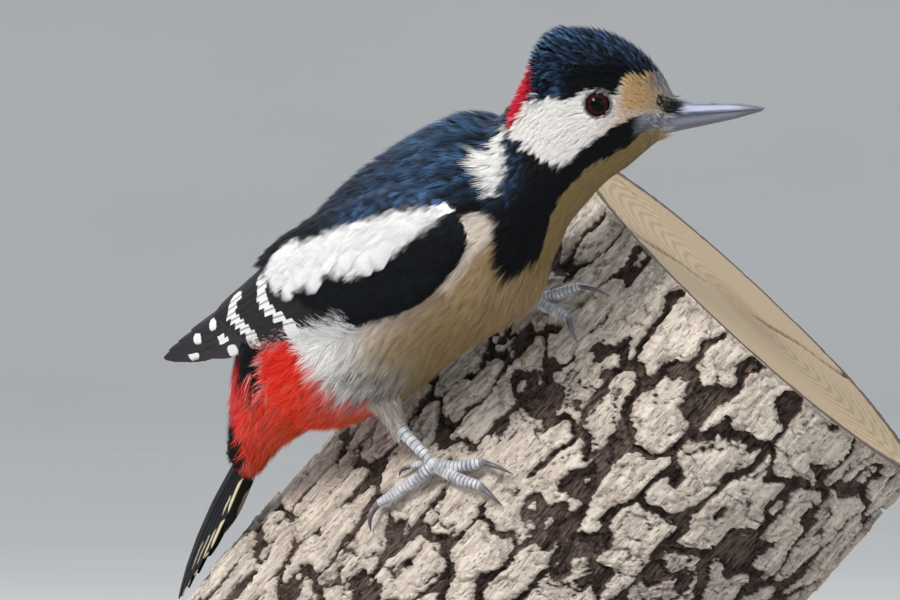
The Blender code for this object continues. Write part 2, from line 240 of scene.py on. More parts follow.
def vanePaint():
    # barbs run out from the shaft, and the edges of the spots follow them
    paint = Paint("vane", Specular_IOR_Level=0.16)
    coat = paint.stored("coat", "Color")
    across, along = paint.stored("across"), paint.stored("along")
    out = paint.node("ShaderNodeMath", {"operation": "ABSOLUTE"}, {0: across})
    slanted = along * vaneLook["barbs"] - out * vaneLook["slant"]
    barbs = paint.node("ShaderNodeMath", {"operation": "SINE"}, {0: slanted})
    ragged = paint.stored("spot") + barbs * 0.12 + (paint.noise(900.0) - 0.5) * 0.5
    spot = paint.between(ragged, -0.12, 0.12)
    light = paint.stored("spotCoat", "Color")
    pale = paint.mix(paint.noise(260.0), light, paint.dim(light, (0.86, 0.86, 0.88)))
    shade = paint.mix(paint.between(barbs, -1.0, 1.0) * 0.4, coat, paint.dim(coat, (0.5, 0.5, 0.5)))
    shaft = 1.0 - paint.between(out, 0.03, 0.09)
    colour = paint.mix(shaft * 0.6, paint.mix(spot, shade, pale), vaneLook["shaft"])
    rough = spot * 0.25 + paint.noise(700.0) * 0.15 + 0.38
    return paint.finish(colour, rough, (barbs * 0.5 + shaft * 2.0, 0.00005, 0.7))


def skinPaint():
    paint = Paint("skin", Roughness=0.75, Specular_IOR_Level=0.3)
    pores = paint.noise(1800.0, 4.0)
    coat = paint.stored("coat", "Color")
    colour = paint.mix(pores * 0.5, coat, paint.dim(coat, (0.55, 0.5, 0.5)))
    return paint.finish(colour, bump=(pores, 0.0002, 0.6))


# ridge is a painted highlight along the sides of the bill
billLook = {
    "dark": (0.045, 0.055, 0.085), "pale": (0.15, 0.17, 0.24), "ridge": (0.48, 0.50, 0.62),
    "under": (0.10, 0.115, 0.16), "tip": (0.075, 0.075, 0.10), "gape": (0.05, 0.05, 0.065),
}


def billPaint():
    # share runs from the root to the tip, level from the gape to the ridge, and under is 1 on the lower bill
    paint = Paint("billHorn", Specular_IOR_Level=0.55, Coat_Roughness=0.25)
    share, level = paint.stored("share"), paint.stored("level")
    streaks = paint.noise(1.0, 5.0, paint.stretch((260.0, 1500.0, 1500.0)))
    slate = paint.mix(paint.between(streaks, 0.35, 0.65), billLook["dark"], billLook["pale"])
    # painted highlight: a pale band along each side of the bill, between the gape and the middle of each
    # half
    ridge = paint.between(level, 0.12, 0.3) * (1.0 - paint.between(level, 0.5, 0.85))
    slate = paint.mix(ridge * 0.7, slate, billLook["ridge"])
    slate = paint.mix(paint.stored("under") * 0.8, slate, billLook["under"])
    tip = paint.between(share + paint.noise(300.0) * 0.12, 0.7, 0.98)
    slate = paint.mix(tip * 0.85, slate, billLook["tip"])
    gape = 1.0 - paint.between(level, 0.0, 0.16)
    paint.feed("Coat Weight", (1.0 - gape) * 0.3)
    colour = paint.mix(gape * 0.75, slate, billLook["gape"])
    return paint.finish(colour, streaks * 0.25 + 0.26, (streaks, 0.00012, 0.6))


eyeLook = {
    "dark": (0.008, 0.002, 0.002), "pale": (0.040, 0.006, 0.005), "edge": (0.006, 0.0015, 0.002),
    "pupil": (0.0006, 0.0006, 0.001), "ball": (0.01, 0.009, 0.01),
    "pupilSize": 1.7, "irisSize": 2.8,
}


def eyePaint():
    # ring is the distance in mm from the middle of the pupil
    paint = Paint("eyeBall", Roughness=0.35, Coat_Weight=0.16, Coat_Roughness=0.03, Specular_IOR_Level=0.0)
    ring = paint.stored("ring")
    pupil, iris = eyeLook["pupilSize"], eyeLook["irisSize"]
    rays = paint.noise(1.0, 3.0, paint.stretch((1500.0, 300.0, 1500.0)))
    colour = paint.mix(rays, eyeLook["dark"], eyeLook["pale"])
    colour = paint.mix(paint.between(ring, iris - 0.7, iris - 0.1), colour, eyeLook["edge"])
    colour = paint.mix(1.0 - paint.between(ring, pupil - 0.08, pupil + 0.1), colour, eyeLook["pupil"])
    return paint.finish(paint.mix(paint.between(ring, iris - 0.05, iris + 0.1), colour, eyeLook["ball"]))


legLook = {"dark": (0.22, 0.23, 0.26), "pale": (0.60, 0.61, 0.64), "gap": (0.04, 0.04, 0.05)}


def legPaint():
    paint = Paint("legScales", Specular_IOR_Level=0.5)
    plate = paint.stored("plate")
    mottle = paint.noise(420.0, 4.0)
    grey = paint.mix(paint.between(mottle, 0.25, 0.75), legLook["dark"], legLook["pale"])
    colour = paint.mix(paint.between(plate, 0.1, 0.62), legLook["gap"], grey)
    relief = paint.noise(1500.0, 4.0) + plate * 0.6
    return paint.finish(colour, mottle * 0.25 + 0.36, (relief, 0.00018, 0.7))


clawLook = {"dark": (0.055, 0.05, 0.055), "pale": (0.14, 0.13, 0.14), "root": (0.20, 0.20, 0.22)}


def clawPaint():
    paint = Paint("clawHorn", Specular_IOR_Level=0.6)
    streaks = paint.noise(600.0, 3.0)
    horn = paint.mix(streaks, clawLook["dark"], clawLook["pale"])
    colour = paint.mix(paint.between(paint.stored("share"), 0.0, 0.3), clawLook["root"], horn)
    return paint.finish(colour, streaks * 0.2 + 0.24, (streaks, 0.0001, 0.4))


barkLook = {
    "dark": (0.36, 0.30, 0.255), "pale": (0.80, 0.72, 0.62), "flake": (0.40, 0.335, 0.30),
    "worn": (0.82, 0.77, 0.70), "crack": (0.12, 0.09, 0.08), "lichen": (0.38, 0.40, 0.10),
    "furrow": (0.020, 0.014, 0.012), "furrowPale": (0.13, 0.088, 0.075), "grain": (0.55, 0.10, 0.3),
}


def barkPaint():
    # height is 0 in the furrows and 1 on the plates; lie is the place round the trunk, along it and out
    paint = Paint("bark", Specular_IOR_Level=0.25)
    height, flake = paint.stored("height"), paint.stored("flake")
    long = paint.stretch(barkLook["grain"], paint.stored("lie", "Vector"))
    grain = paint.noise(1.0, 6.0, long, 0.62)
    strands = paint.noise(3.0, 4.0, long, 0.6)
    fine = paint.noise(900.0, 5.0, rough=0.65)
    plate = paint.mix(paint.between(grain, 0.3, 0.7), barkLook["dark"], barkLook["pale"])
    plate = paint.mix(flake * 0.5, plate, barkLook["flake"])
    plate = paint.mix(paint.between(fine, 0.5, 0.75) * 0.6, plate, barkLook["worn"])
    cracks = 1.0 - paint.between(strands, 0.33, 0.41)
    plate = paint.mix(cracks * 0.7, plate, barkLook["crack"])
    furrow = paint.mix(paint.between(strands, 0.35, 0.65), barkLook["furrow"], barkLook["furrowPale"])
    colour = paint.mix(paint.between(height + (fine - 0.5) * 0.3, 0.38, 0.62), furrow, plate)
    lichen = paint.between(paint.noise(75.0, 6.0, rough=0.6), 0.66, 0.70) * paint.between(fine, 0.35, 0.6)
    colour = paint.mix(lichen * 0.8, colour, barkLook["lichen"])
    relief = fine * 0.7 + strands * 0.9 - cracks * 0.5
    return paint.finish(colour, fine * 0.2 + 0.74, (relief, 0.0008, 0.9))


sawnLook = {
    "early": (0.44, 0.33, 0.20), "late": (0.29, 0.19, 0.105), "heart": (0.25, 0.13, 0.06),
    "saw": (0.52, 0.41, 0.27), "split": (0.05, 0.03, 0.02), "bark": (0.10, 0.065, 0.045),
    "years": 1.9, "barkFrom": 48.8,
}


def sawnPaint():
    # ringWood is the distance from the pith, which reaches 52 at the rim, and check is 1 in a drying crack
    paint = Paint("sawnWood", Specular_IOR_Level=0.3)
    ring = paint.stored("ringWood")
    warped = ring + (paint.noise(22.0, 3.0) * 9.0 + paint.noise(120.0) * 1.2)
    years = paint.node("ShaderNodeMath", {"operation": "SINE"}, {0: warped * sawnLook["years"]})
    saw = paint.noise(1.0, 4.0, paint.stretch((60.0, 1600.0, 60.0)))
    wood = paint.mix(paint.between(years, -0.2, 1.0) * 0.7, sawnLook["early"], sawnLook["late"])
    heart = 1.0 - paint.between(warped, 12.0, 24.0)
    wood = paint.mix(heart, wood, paint.mix(0.5, wood, sawnLook["heart"]))
    wood = paint.mix(saw * 0.35, wood, sawnLook["saw"])
    wood = paint.mix(paint.stored("check"), wood, sawnLook["split"])
    edge = sawnLook["barkFrom"]
    colour = paint.mix(paint.between(ring, edge - 0.5, edge + 0.5), wood, sawnLook["bark"])
    return paint.finish(colour, saw * 0.2 + 0.6, (saw + years * 0.2, 0.0003, 0.6))


baseLook = {"dark": (0.055, 0.026, 0.013), "pale": (0.15, 0.075, 0.036), "pore": (0.02, 0.011, 0.007)}


def basePaint():
    paint = Paint("baseWood", Coat_Roughness=0.12, Specular_IOR_Level=0.5)
    figure = paint.noise(1.0, 5.0, paint.stretch((6.0, 90.0, 90.0)))
    pores = paint.noise(1.0, 3.0, paint.stretch((120.0, 2200.0, 2200.0)))
    wood = paint.mix(paint.between(figure, 0.3, 0.7), baseLook["dark"], baseLook["pale"])
    paint.feed("Coat Weight", figure * 0.3 + 0.25)
    colour = paint.mix(paint.between(pores, 0.6, 0.75) * 0.6, wood, baseLook["pore"])
    return paint.finish(colour, pores * 0.18 + 0.25, (pores, 0.0001, 0.4))


steelLook = {"dark": (0.42, 0.43, 0.45), "pale": (0.62, 0.63, 0.65), "turning": (300.0, 300.0, 9000.0)}


def steelPaint():
    paint = Paint("rodSteel", Metallic=1.0)
    lines = paint.noise(1.0, 3.0, paint.stretch(steelLook["turning"]))
    colour = paint.mix(lines, steelLook["dark"], steelLook["pale"])
    return paint.finish(colour, lines * 0.2 + 0.22, (lines, 0.00004, 0.5))


paints = {
    "plumage": plumagePaint(),
    "vane": vanePaint(),
    "skin": skinPaint(),
    "bill": billPaint(),
    "eye": eyePaint(),
    "leg": legPaint(),
    "claw": clawPaint(),
    "bark": barkPaint(),
    "sawn": sawnPaint(),
    "base": basePaint(),
    "steel": steelPaint(),
}
print("materials ready")


def buildMesh(name, points, faces, stored=None, bakeMap=None):
    # faces is an array of triangles or of quads, or a list of both; stored holds a value or colour a point
    mesh = bpy.data.meshes.new(name)
    points = (np.asarray(points, float) + origin) * mm
    kinds = [np.asarray(kind, np.int32) for kind in (faces if isinstance(faces, list) else [faces])]
    corners = np.concatenate([kind.ravel() for kind in kinds])
    sizes = np.concatenate([np.full(len(kind), kind.shape[1], np.int32) for kind in kinds])
    mesh.vertices.add(len(points))
    mesh.vertices.foreach_set("co", points.astype(np.float32).ravel())
    mesh.loops.add(len(corners))
    mesh.loops.foreach_set("vertex_index", corners)
    mesh.polygons.add(len(sizes))
    mesh.polygons.foreach_set("loop_start", (np.cumsum(sizes) - sizes).astype(np.int32))
    mesh.polygons.foreach_set("use_smooth", np.ones(len(sizes), bool))
    mesh.update(calc_edges=True)
    for key, values in (stored or {}).items():
        values = np.asarray(values, np.float32)
        if values.ndim == 2:
            layer = mesh.attributes.new(key, "FLOAT_COLOR", "POINT")
            layer.data.foreach_set("color", np.hstack([values, np.ones((len(values), 1))]).ravel())
        else:
            mesh.attributes.new(key, "FLOAT", "POINT").data.foreach_set("value", values)
    if bakeMap is not None:
        layer = mesh.uv_layers.new(name="OFBake")
        layer.uv.foreach_set("vector", np.asarray(bakeMap, np.float32)[corners].ravel())
    return mesh


def newObject(name, data):
    made = bpy.data.objects.new(name, data)
    bpy.context.scene.collection.objects.link(made)
    return made


def addPiece(name, mesh, paint, slot, instead=()):
    piece = newObject(name, mesh)
    if not mesh.materials:
        mesh.materials.append(paints[paint])
    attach(piece, "root")
    if instead:
        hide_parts(*instead)
    return piece


def gridFaces(rows, columns, wrap=False):
    # quads over a grid of points, which closes on itself across if wrap is set
    i, j = np.meshgrid(np.arange(rows - 1), np.arange(columns if wrap else columns - 1), indexing="ij")
    k = (j + 1) % columns
    quads = np.stack([i * columns + j, i * columns + k, (i + 1) * columns + k, (i + 1) * columns + j], -1)
    return quads.reshape(-1, 4)


def facingOut(points, faces):
    # turns every face round if the closed mesh is inside out
    p = np.asarray(points, float)
    p = p - p.mean(0)
    a, b, c = p[faces[:, 0]], p[faces[:, 1]], p[faces[:, 2]]
    volume = np.einsum("ij,ij->i", a, np.cross(b, c)).sum()
    if faces.shape[1] == 4:
        volume += np.einsum("ij,ij->i", a, np.cross(c, p[faces[:, 3]])).sum()
    return faces if volume > 0 else faces[:, ::-1]


def closeRings(rings):
    # rings of points with a centre point at each end, the quads between them and the triangles of the ends
    count, around = rings.shape[:2]
    j = np.arange(around)
    k = (j + 1) % around
    last = (count - 1) * around
    low = np.stack([np.full(around, last + around), k, j], -1)
    high = np.stack([np.full(around, last + around + 1), last + j, last + k], -1)
    points = np.concatenate([rings.reshape(-1, 3), rings[0].mean(0)[None], rings[-1].mean(0)[None]])
    return points, gridFaces(count, around, wrap=True), np.concatenate([low, high])


def lathe(rings):
    # the same as one closed mesh of triangles
    points, quads, ends = closeRings(rings)
    return points, facingOut(points, np.concatenate([quads[:, [0, 1, 2]], quads[:, [0, 2, 3]], ends]))


def endValues(values, around):
    # one value a ring, spread to all its points and to the two centre points
    return np.concatenate([np.repeat(values, around), values[[0, -1]]])


# the body's sections: centre x, y, z; half height, half width; lean and turn in degrees
bodySections = {
    "billBase": (53.0, -31.5, 44.3, 5.5, 4.8, -17.0, 0.0),
    "forehead": (49.4, -31.5, 45.9, 9.9, 8.8, -10.5, 0.0),
    "brow": (45.0, -31.5, 46.1, 14.1, 12.2, -8.5, 0.0),
    "eyeLine": (39.8, -31.5, 46.3, 17.6, 14.4, -5.5, 0.0),
    "crown": (33.2, -31.5, 44.7, 21.4, 15.7, -0.5, 1.0),
    "hindCrown": (26.2, -31.3, 41.0, 23.5, 16.0, 5.6, 6.0),
    "nape": (21.0, -30.0, 31.1, 19.8, 16.4, 12.1, 18.0),
    "neck": (17.2, -28.2, 25.6, 19.8, 18.0, 15.0, 26.0),
    "shoulder": (12.3, -26.0, 23.9, 23.2, 20.0, 18.7, 33.0),
    "mantle": (5.7, -20.5, 19.1, 26.2, 21.6, 21.0, 38.0),
    "back": (-8.8, -7.0, 9.8, 26.2, 22.0, 25.4, 40.0),
    "belly": (-21.5, 7.1, -1.3, 24.8, 21.2, 29.2, 40.0),
    "flank": (-33.5, 20.0, -11.2, 21.6, 18.6, 28.4, 41.0),
    "rump": (-39.5, 26.3, -16.2, 17.1, 16.0, 28.9, 41.0),
    "vent": (-46.7, 38.0, -27.3, 9.8, 10.4, 32.0, 41.0),
    "underTail": (-51.3, 48.7, -38.8, 5.3, 5.8, 29.0, 41.0),
}
bodyRows = list(bodySections.values())
bodyEnd = len(bodyRows) - 1.0
# the face is counted from a ring on the bill, so that bristles can lie over the bill's root
muzzleRows = [(62.0, -31.5, 45.1, 3.7, 3.6, -5.0, 0.0), *bodyRows[:5]]
squareness, egg = 2.25, 0.06


def sectionAxes(row):
    # the directions up and to the right in the plane of a section
    lean, turn = np.radians(row[..., 5]), np.radians(row[..., 6])
    zero = np.zeros_like(lean)
    up = np.stack([-np.sin(lean), zero, np.cos(lean)], -1)
    ahead = np.stack([np.cos(lean), zero, np.sin(lean)], -1)
    return up, np.stack([zero, -np.cos(turn), zero], -1) - ahead * np.sin(turn)[..., None]


def loft(sections, at, angle, lift):
    at, angle, lift = np.broadcast_arrays(np.clip(at, 0.0, len(sections) - 1.0), angle, lift)
    row = smooth(sections, at)
    up, side = sectionAxes(row)
    c, s = np.cos(angle), np.sin(angle)
    full = (np.abs(c) ** squareness + np.abs(s) ** squareness) ** (-1 / squareness)
    tall = (row[..., 3] + lift) * c * full
    broad = (row[..., 4] * (1 - egg * c) + lift) * s * full
    return row[..., :3] + up * tall[..., None] + side * broad[..., None]


def bodySurface(at, angle, lift=0.0):
    return loft(bodyRows, at, angle, lift)


def muzzleSurface(at, angle, lift=0.0):
    return loft(muzzleRows, at, angle, lift)


depthAlong = curve([0, 0.8, 2, 4, 6, 7.5, 9, 12, 14, 15], [0.3, 0.55, 0.8, 1, 1.4, 2, 2.5, 2.7, 1.9, 1.1])


def coatDepth(at, angle):
    # how far the skin lies under the tips of the feathers
    return depthAlong(at) * (1.0 + 0.35 * np.cos(angle) * ramp(6.5 - at, 1.0, 2.0))


# edges of the markings: places counted in sections, and degrees from the top of the head or the back
crownLow = curve(
    [0.9, 1.0, 1.2, 1.6, 1.9, 2.35, 2.65, 2.8, 3.0, 3.2, 3.45, 3.95, 4.3, 4.6, 5.05, 5.4, 5.7, 6.2],
    [-5, 20, 35, 47, 55, 60, 66, 78, 82, 79, 76.5, 75.5, 77, 77, 70, 58, 49, 40],
)
cheekLow = curve(
    [0.0, 1.2, 2.0, 2.5, 3.3, 4.0, 4.67, 5.0, 5.33, 5.6, 5.9, 6.05],
    [95, 97, 99, 104, 110, 113, 116, 110, 99, 84, 62, 40],
)
malarLow = curve(
    [0.3, 0.75, 1.55, 2.0, 2.9, 3.6, 4.8, 5.25, 5.55, 6.1, 6.8, 7.35],
    [108, 114, 123, 129, 132, 128, 134, 140, 150, 162, 157, 150],
)
patchLow = curve([6.0, 6.25, 6.5, 6.85, 7.1, 7.35], [80, 84, 92, 83, 66, 52])
patchTop = curve([6.0, 6.25, 6.7, 7.0, 7.35], [46, 46, 54, 50, 52])
# the black of the back, up to where the wing takes over
backLow = curve(
    [6.9, 7.1, 7.7, 8, 8.5, 9, 10, 10.5, 11.2, 11.9, 12.4, 12.8, 12.95, 13.1, 13.6, 13.85, 14.1, 14.4, 15],
    [100, 97, 93, 94, 105, 108, 98, 90, 78, 76, 98, 98, 80, 50, 44, 52, 112, 128, 136],
)
# these two give a section for each number of degrees
wedgeBack = curve([92, 98, 105, 116, 135, 147, 155, 164], [7.1, 6.85, 6.9, 7.08, 7.42, 7.5, 7.2, 6.2])
ventFront = curve([60, 76, 90, 104, 122, 138, 148, 180], [11.3, 11.12, 11.12, 11.2, 11.2, 11.1, 10.95, 11.1])


def fall(x, edge, soft):
    # 1 below the edge and 0 above it
    return ramp(-x, -edge, soft)


def bell(x, y, middle, wide):
    # 1 at the middle, falling away in both directions
    return np.exp(-(((x - middle[0]) / wide[0]) ** 2) - ((y - middle[1]) / wide[1]) ** 2)


def blend(colour, share, other):
    return colour * (1 - share[..., None]) + colours[other] * share[..., None]


def bodyMarks(at, angle, ragged=0.0):
    # the coat's colour at places on the body; ragged moves the edges about a little
    at = np.asarray(at, float)
    angle = (np.asarray(angle, float) + math.pi) % (2 * math.pi) - math.pi
    x, y, z = np.moveaxis(bodySurface(at, angle), -1, 0)
    wave = drift(x / 3.0, y / 3.0, z / 3.0, 5) * ragged
    at = at + 0.07 * wave
    deg = np.degrees(np.abs(angle)) + 2.2 * wave
    side = ramp(at, 6.9, 0.1) * fall(at, 8.95, 0.2) * ramp(deg, 90, 6) * fall(deg, 119 + 3 * (at - 8), 8)
    stripe = fall(deg, malarLow(at), 2.5)
    black = np.maximum(fall(deg, backLow(at), 3), fall(at, wedgeBack(deg), 0.08) * stripe)
    black = np.where(at > 6.6, black, np.where(deg < malarLow(at), stripe, 0))
    patch = ramp(at, 6.12, 0.08) * fall(at, 7.2, 0.1)
    patch = patch * ramp(deg, patchTop(at), 3) * fall(deg, patchLow(at), 4)
    cheek = ramp(deg, crownLow(at), 2) * fall(deg, cheekLow(at), 2.5) * fall(at, 6.02, 0.06)
    gape = fall(at, 1.7, 0.5) * ramp(deg, 96, 6) * fall(deg, 118, 8)
    vent = np.where(at > 13.2, ramp(deg, backLow(at), 6), ramp(deg, backLow(at) + 2, 8))
    vent = ramp(at, ventFront(deg), 0.22) * vent
    layers = (
        # throat, breast and belly
        (ramp(at, 7.2, 1.6), "buff"),
        (ramp(at, 9.6, 1.8) * 0.4, "belly"),
        # painted shade: the breast and belly turn darker olive towards the underside
        (ramp(deg, 140, 40) * ramp(at, 8.5, 1.5) * 0.75, "olive"),
        # flank
        (ramp(at, 9.35, 0.9) * fall(deg, 121 - 2.0 * (at - 9.7), 16) * 0.85, "cream"),
        (ramp(at, 10.15 + 0.016 * (deg - 100), 0.6) * 0.95, "white"),
        # painted light: a brighter white on the side of the flank, at the wing's lower edge
        (bell(at, deg, (11.0, 98), (0.45, 16)) * 0.8, "litWhite"),
        (bell(at, deg, (10.9, 150), (0.45, 16)) * 0.65, "ash"),
        (side * 0.95, "cream"),
        # back, crown and the stripe below the cheek, then the patch on the side of the neck
        (black, "black"),
        (patch, "white"),
        # cheek and forehead
        (cheek, "white"),
        (cheek * 0.16, "cream"),
        (cheek * fall(at, 2.75, 0.5), "tan"),
        (cheek * fall(at, 3.4, 1.0) * ramp(deg, 92, 8) * 0.6, "cream"),
        (cheek * fall(at, 1.45, 0.7) * (0.25 + 0.6 * fall(deg, 62, 18)), "ash"),
        (gape * np.clip(0.7 + 0.5 * wave, 0, 0.95), "mist"),
        (gape * ramp(deg, 108, 6) * 0.6, "slate"),
        # nape and vent
        (ramp(at, 5.4, 0.08) * fall(at, 6.02, 0.1) * fall(deg, 54, 4), "crimson"),
        (vent, "red"),
        (vent * fall(deg, 88, 40) * 0.7, "crimson"),
        (vent * ramp(deg, 150, 44) * 0.75, "orange"),
    )
    tone = colours["olive"] * np.ones((*at.shape, 1))
    for share, name in layers:
        tone = blend(tone, share, name)
    return tone


lids = {
    "opening": 2.75, "ridge": 3.2, "height": 15.05, "reach": 0.75, "edge": 0.5, "sunk": 1.3, "faceFrom": 8.0,
}


def liftLids(points):
    # parts the skin round each eye and raises it into a lid
    out = np.abs(points[..., 1] - eyes["midline"])
    away = np.hypot(points[..., 0] - eyes["x"], points[..., 2] - eyes["z"])
    beside = out > lids["faceFrom"]
    inside = np.clip((lids["opening"] - away) / lids["edge"], 0, 1)
    ball = eyes["out"] + np.sqrt(np.maximum(eyes["radius"] ** 2 - away**2, 0.0)) - lids["sunk"]
    ridge = np.clip(1 - np.abs(away - lids["ridge"]) / lids["reach"], 0, 1)
    ridge = ridge * ridge * (3 - 2 * ridge)
    raised = out + (lids["height"] - out) * ridge
    raised = raised + (np.minimum(ball, out) - raised) * inside
    moved = np.where(beside, raised, out)
    points[..., 1] = eyes["midline"] + np.sign(points[..., 1] - eyes["midline"]) * moved
    return points, beside & (away < lids["ridge"] + 0.5)


# hip, ankle and the ball of the foot; each toe's knuckle, tip and claw as x and z on the bark
legs = {
    "right": {
        "hip": (-24.0, 6.0, -9.0),
        "ankle": (-12.9, 4.6, -31.2),
        "foot": (-3.6, -3.0, -40.6),
        "toes": {
            "outer": ((-9.0, -45.2), (-17.7, -50.3), (-19.4, -57.0)),
            "fore": ((2.6, -41.6), (8.2, -39.6), (15.4, -42.6)),
            "inner": ((2.4, -44.6), (8.0, -45.6), (12.9, -50.4)),
            "hind": ((-6.6, -40.2), (-9.4, -41.0), (-12.4, -43.4)),
        },
    },
    "left": {
        "hip": (-13.0, 14.0, -4.0),
        "ankle": (6.2, 9.0, -7.6),
        "foot": (21.6, 0.2, -0.4),
        "toes": {
            "outer": ((22.2, 5.6), (21.8, 11.0), (20.4, 16.4)),
            "fore": ((26.8, 1.4), (32.4, 3.4), (39.4, 0.8)),
            "inner": ((25.4, -2.4), (29.4, -4.6), (31.2, -10.4)),
            "hind": ((19.8, 1.6), (17.6, 3.2), (15.6, 6.6)),
        },
    },
}
thigh = {
    "wide": 8.5, "places": (0.0, 0.3, 0.6, 0.85, 1.0), "shape": (1.0, 0.95, 0.62, 0.32, 0.24), "coat": 0.7,
}


def thighSurface(which):
    hip, ankle = np.array(legs[which]["hip"]), np.array(legs[which]["ankle"])
    ahead = unit(ankle - hip)
    first = unit(np.cross(ahead, [0.13, -0.35, 0.93]))
    second = np.cross(ahead, first)

    def surface(t, angle, lift=0.0):
        t, angle, lift = np.broadcast_arrays(np.clip(t, 0, 1.16), angle, lift)
        radius = thigh["wide"] * np.interp(t, thigh["places"], thigh["shape"]) + lift * np.clip(t * 4, 0, 1)
        around = first * (np.cos(angle) * radius)[..., None] + second * (np.sin(angle) * radius)[..., None]
        return hip + (ankle - hip) * t[..., None] + around

    return surface


def joinLimb(skin, which):
    # unites a thigh with the skin
    t = np.linspace(0.1, 1.0, 40)[:, None]
    points, faces = lathe(thighSurface(which)(t, turns(48)[None, :], -thigh["coat"]))
    tone = np.tile(colours["ash"], (len(points), 1))
    limb = newObject("limb", buildMesh("limb", points, faces, {"coat": tone}))
    union = skin.modifiers.new("union", "BOOLEAN")
    union.operation = "UNION"
    union.object = limb
    graph = bpy.context.evaluated_depsgraph_get()
    joined = bpy.data.meshes.new_from_object(skin.evaluated_get(graph))
    skin.modifiers.clear()
    skin.data = joined
    bpy.data.objects.remove(limb)


def makeSkin():
    at, angle = np.linspace(0.02, bodyEnd, 300)[:, None], turns(200)[None, :]
    points, near = liftLids(bodySurface(at, angle, -coatDepth(at, angle)))
    tone = bodyMarks(*np.broadcast_arrays(at, angle)) * 0.8
    tone[near] = colours["socket"]
    away = np.hypot(points[..., 0] - eyes["x"], points[..., 2] - eyes["z"])
    tone[near & (away > lids["ridge"] - 0.05)] = colours["lid"]
    tone = np.concatenate([tone.reshape(-1, 3), tone[0, :1], tone[-1, :1]])
    mesh = buildMesh("skin", *lathe(points), {"coat": tone})
    flesh = ("head", "neck", "trunk", "thigh_right", "thigh_left")
    skin = addPiece("skin", mesh, "skin", "plumage_body", flesh)
    for which in legs:
        joinLimb(skin, which)


makeSkin()
print("skin ready")


def tuftShape(barbs, split, blunt):
    # one feather lying flat: along 0..1, across -1..1, and its triangles; its tip is split into barbs
    base = np.linspace(-1, 1, barbs + 1)
    along = [np.full(barbs + 1, u) for u in (0.0, split * 0.5, split)]
    across = [base * width for width in (0.4, 0.85, 1.0)]
    faces = gridFaces(3, barbs + 1).tolist()
    triangles = [[q[0], q[1], q[2]] for q in faces] + [[q[0], q[2], q[3]] for q in faces]
    start = 2 * (barbs + 1)
    count = 3 * (barbs + 1)
    kind = [np.zeros(count)]
    for k in range(barbs):
        middle = 0.5 * (base[k] + base[k + 1])
        half = 0.5 * (base[k + 1] - base[k])
        crown = 1.0 - blunt * (1 - math.sqrt(1 - 0.94 * middle**2))
        reach = split + (crown - split) * 0.55
        along.append(np.array([reach, reach, crown]))
        across.append(np.array([middle - half * 0.55, middle + half * 0.55, middle]) * 0.96)
        kind.append(np.full(3, k + 1.0))
        a, b, c, d, e = start + k, start + k + 1, count, count + 1, count + 2
        triangles += [[a, b, d], [a, d, c], [c, d, e]]
        count += 3
    along, across, kind = (np.concatenate(values) for values in (along, across, kind))
    return along, across, np.array(triangles), kind.astype(int)


def treeOf(places):
    tree = KDTree(len(places))
    for index, place in enumerate(places.tolist()):
        tree.insert(place, index)
    tree.balance()
    return tree


def scatter(surface, aRange, bRange, spacing, keep):
    # evenly spread places on a surface: area-weighted throws, thinned to a least distance
    a = np.linspace(*aRange, 160)
    b = np.linspace(*bRange, 160)
    points = surface(a[:, None], b[None, :], 0.0)
    across, down = points[1:, :-1] - points[:-1, :-1], points[:-1, 1:] - points[:-1, :-1]
    area = np.linalg.norm(np.cross(across, down), axis=-1)
    middle = np.broadcast_arrays(0.5 * (a[1:] + a[:-1])[:, None], 0.5 * (b[1:] + b[:-1])[None, :])
    area = area * keep(*middle)
    throws = int(7 * area.sum() / spacing**2)
    cell = draw.choice(area.size, throws, p=area.ravel() / area.sum())
    i, j = np.unravel_index(cell, area.shape)
    at = a[i] + draw.random(throws) * (a[1] - a[0])
    angle = b[j] + draw.random(throws) * (b[1] - b[0])
    places = surface(at, angle, 0.0)
    tree = treeOf(places)
    alive = np.ones(throws, bool)
    kept = []
    for index, place in enumerate(places.tolist()):
        if alive[index]:
            kept.append(index)
            alive[[other for _, other, _ in tree.find_range(place, spacing * 0.86)]] = False
    return at[kept], angle[kept]


def valueAt(value, a, b):
    # a style's value is a number, or a function of the place
    return value(a, b) if callable(value) else np.full(np.shape(a), float(value))


def slide(a, b, toA, toB, move):
    # the places that lie a short move in mm away from a and b
    aa, ab, bb = (toA * toA).sum(-1)[:, None], (toA * toB).sum(-1)[:, None], (toB * toB).sum(-1)[:, None]
    moveA, moveB = (move * toA[:, None, :]).sum(-1), (move * toB[:, None, :]).sum(-1)
    whole = aa * bb - ab * ab
    return a[:, None] + (moveA * bb - moveB * ab) / whole, b[:, None] + (moveB * aa - moveA * ab) / whole


# across: where round the piece; keep: 0 where none grow; half: half the width; split: where the barbs start;
# swing and messy: the turn away from the lie, and its scatter; ragged and splay: how unlike the barbs are;
# uneven: scatter of the tips' height; rear: -1 to point the other way; mottle and shadow: scatter of the
# shade, and how much darker the root is; blunt: how round the end is
plainStyle = {
    "across": (-math.pi, math.pi), "keep": lambda a, b: np.ones(np.shape(a)), "swing": 0.0, "messy": 0.14,
    "ragged": 0.16, "splay": 0.12, "uneven": 0.08, "rear": 1.0, "mottle": 0.08, "shadow": 0.2, "blunt": 0.24,
}


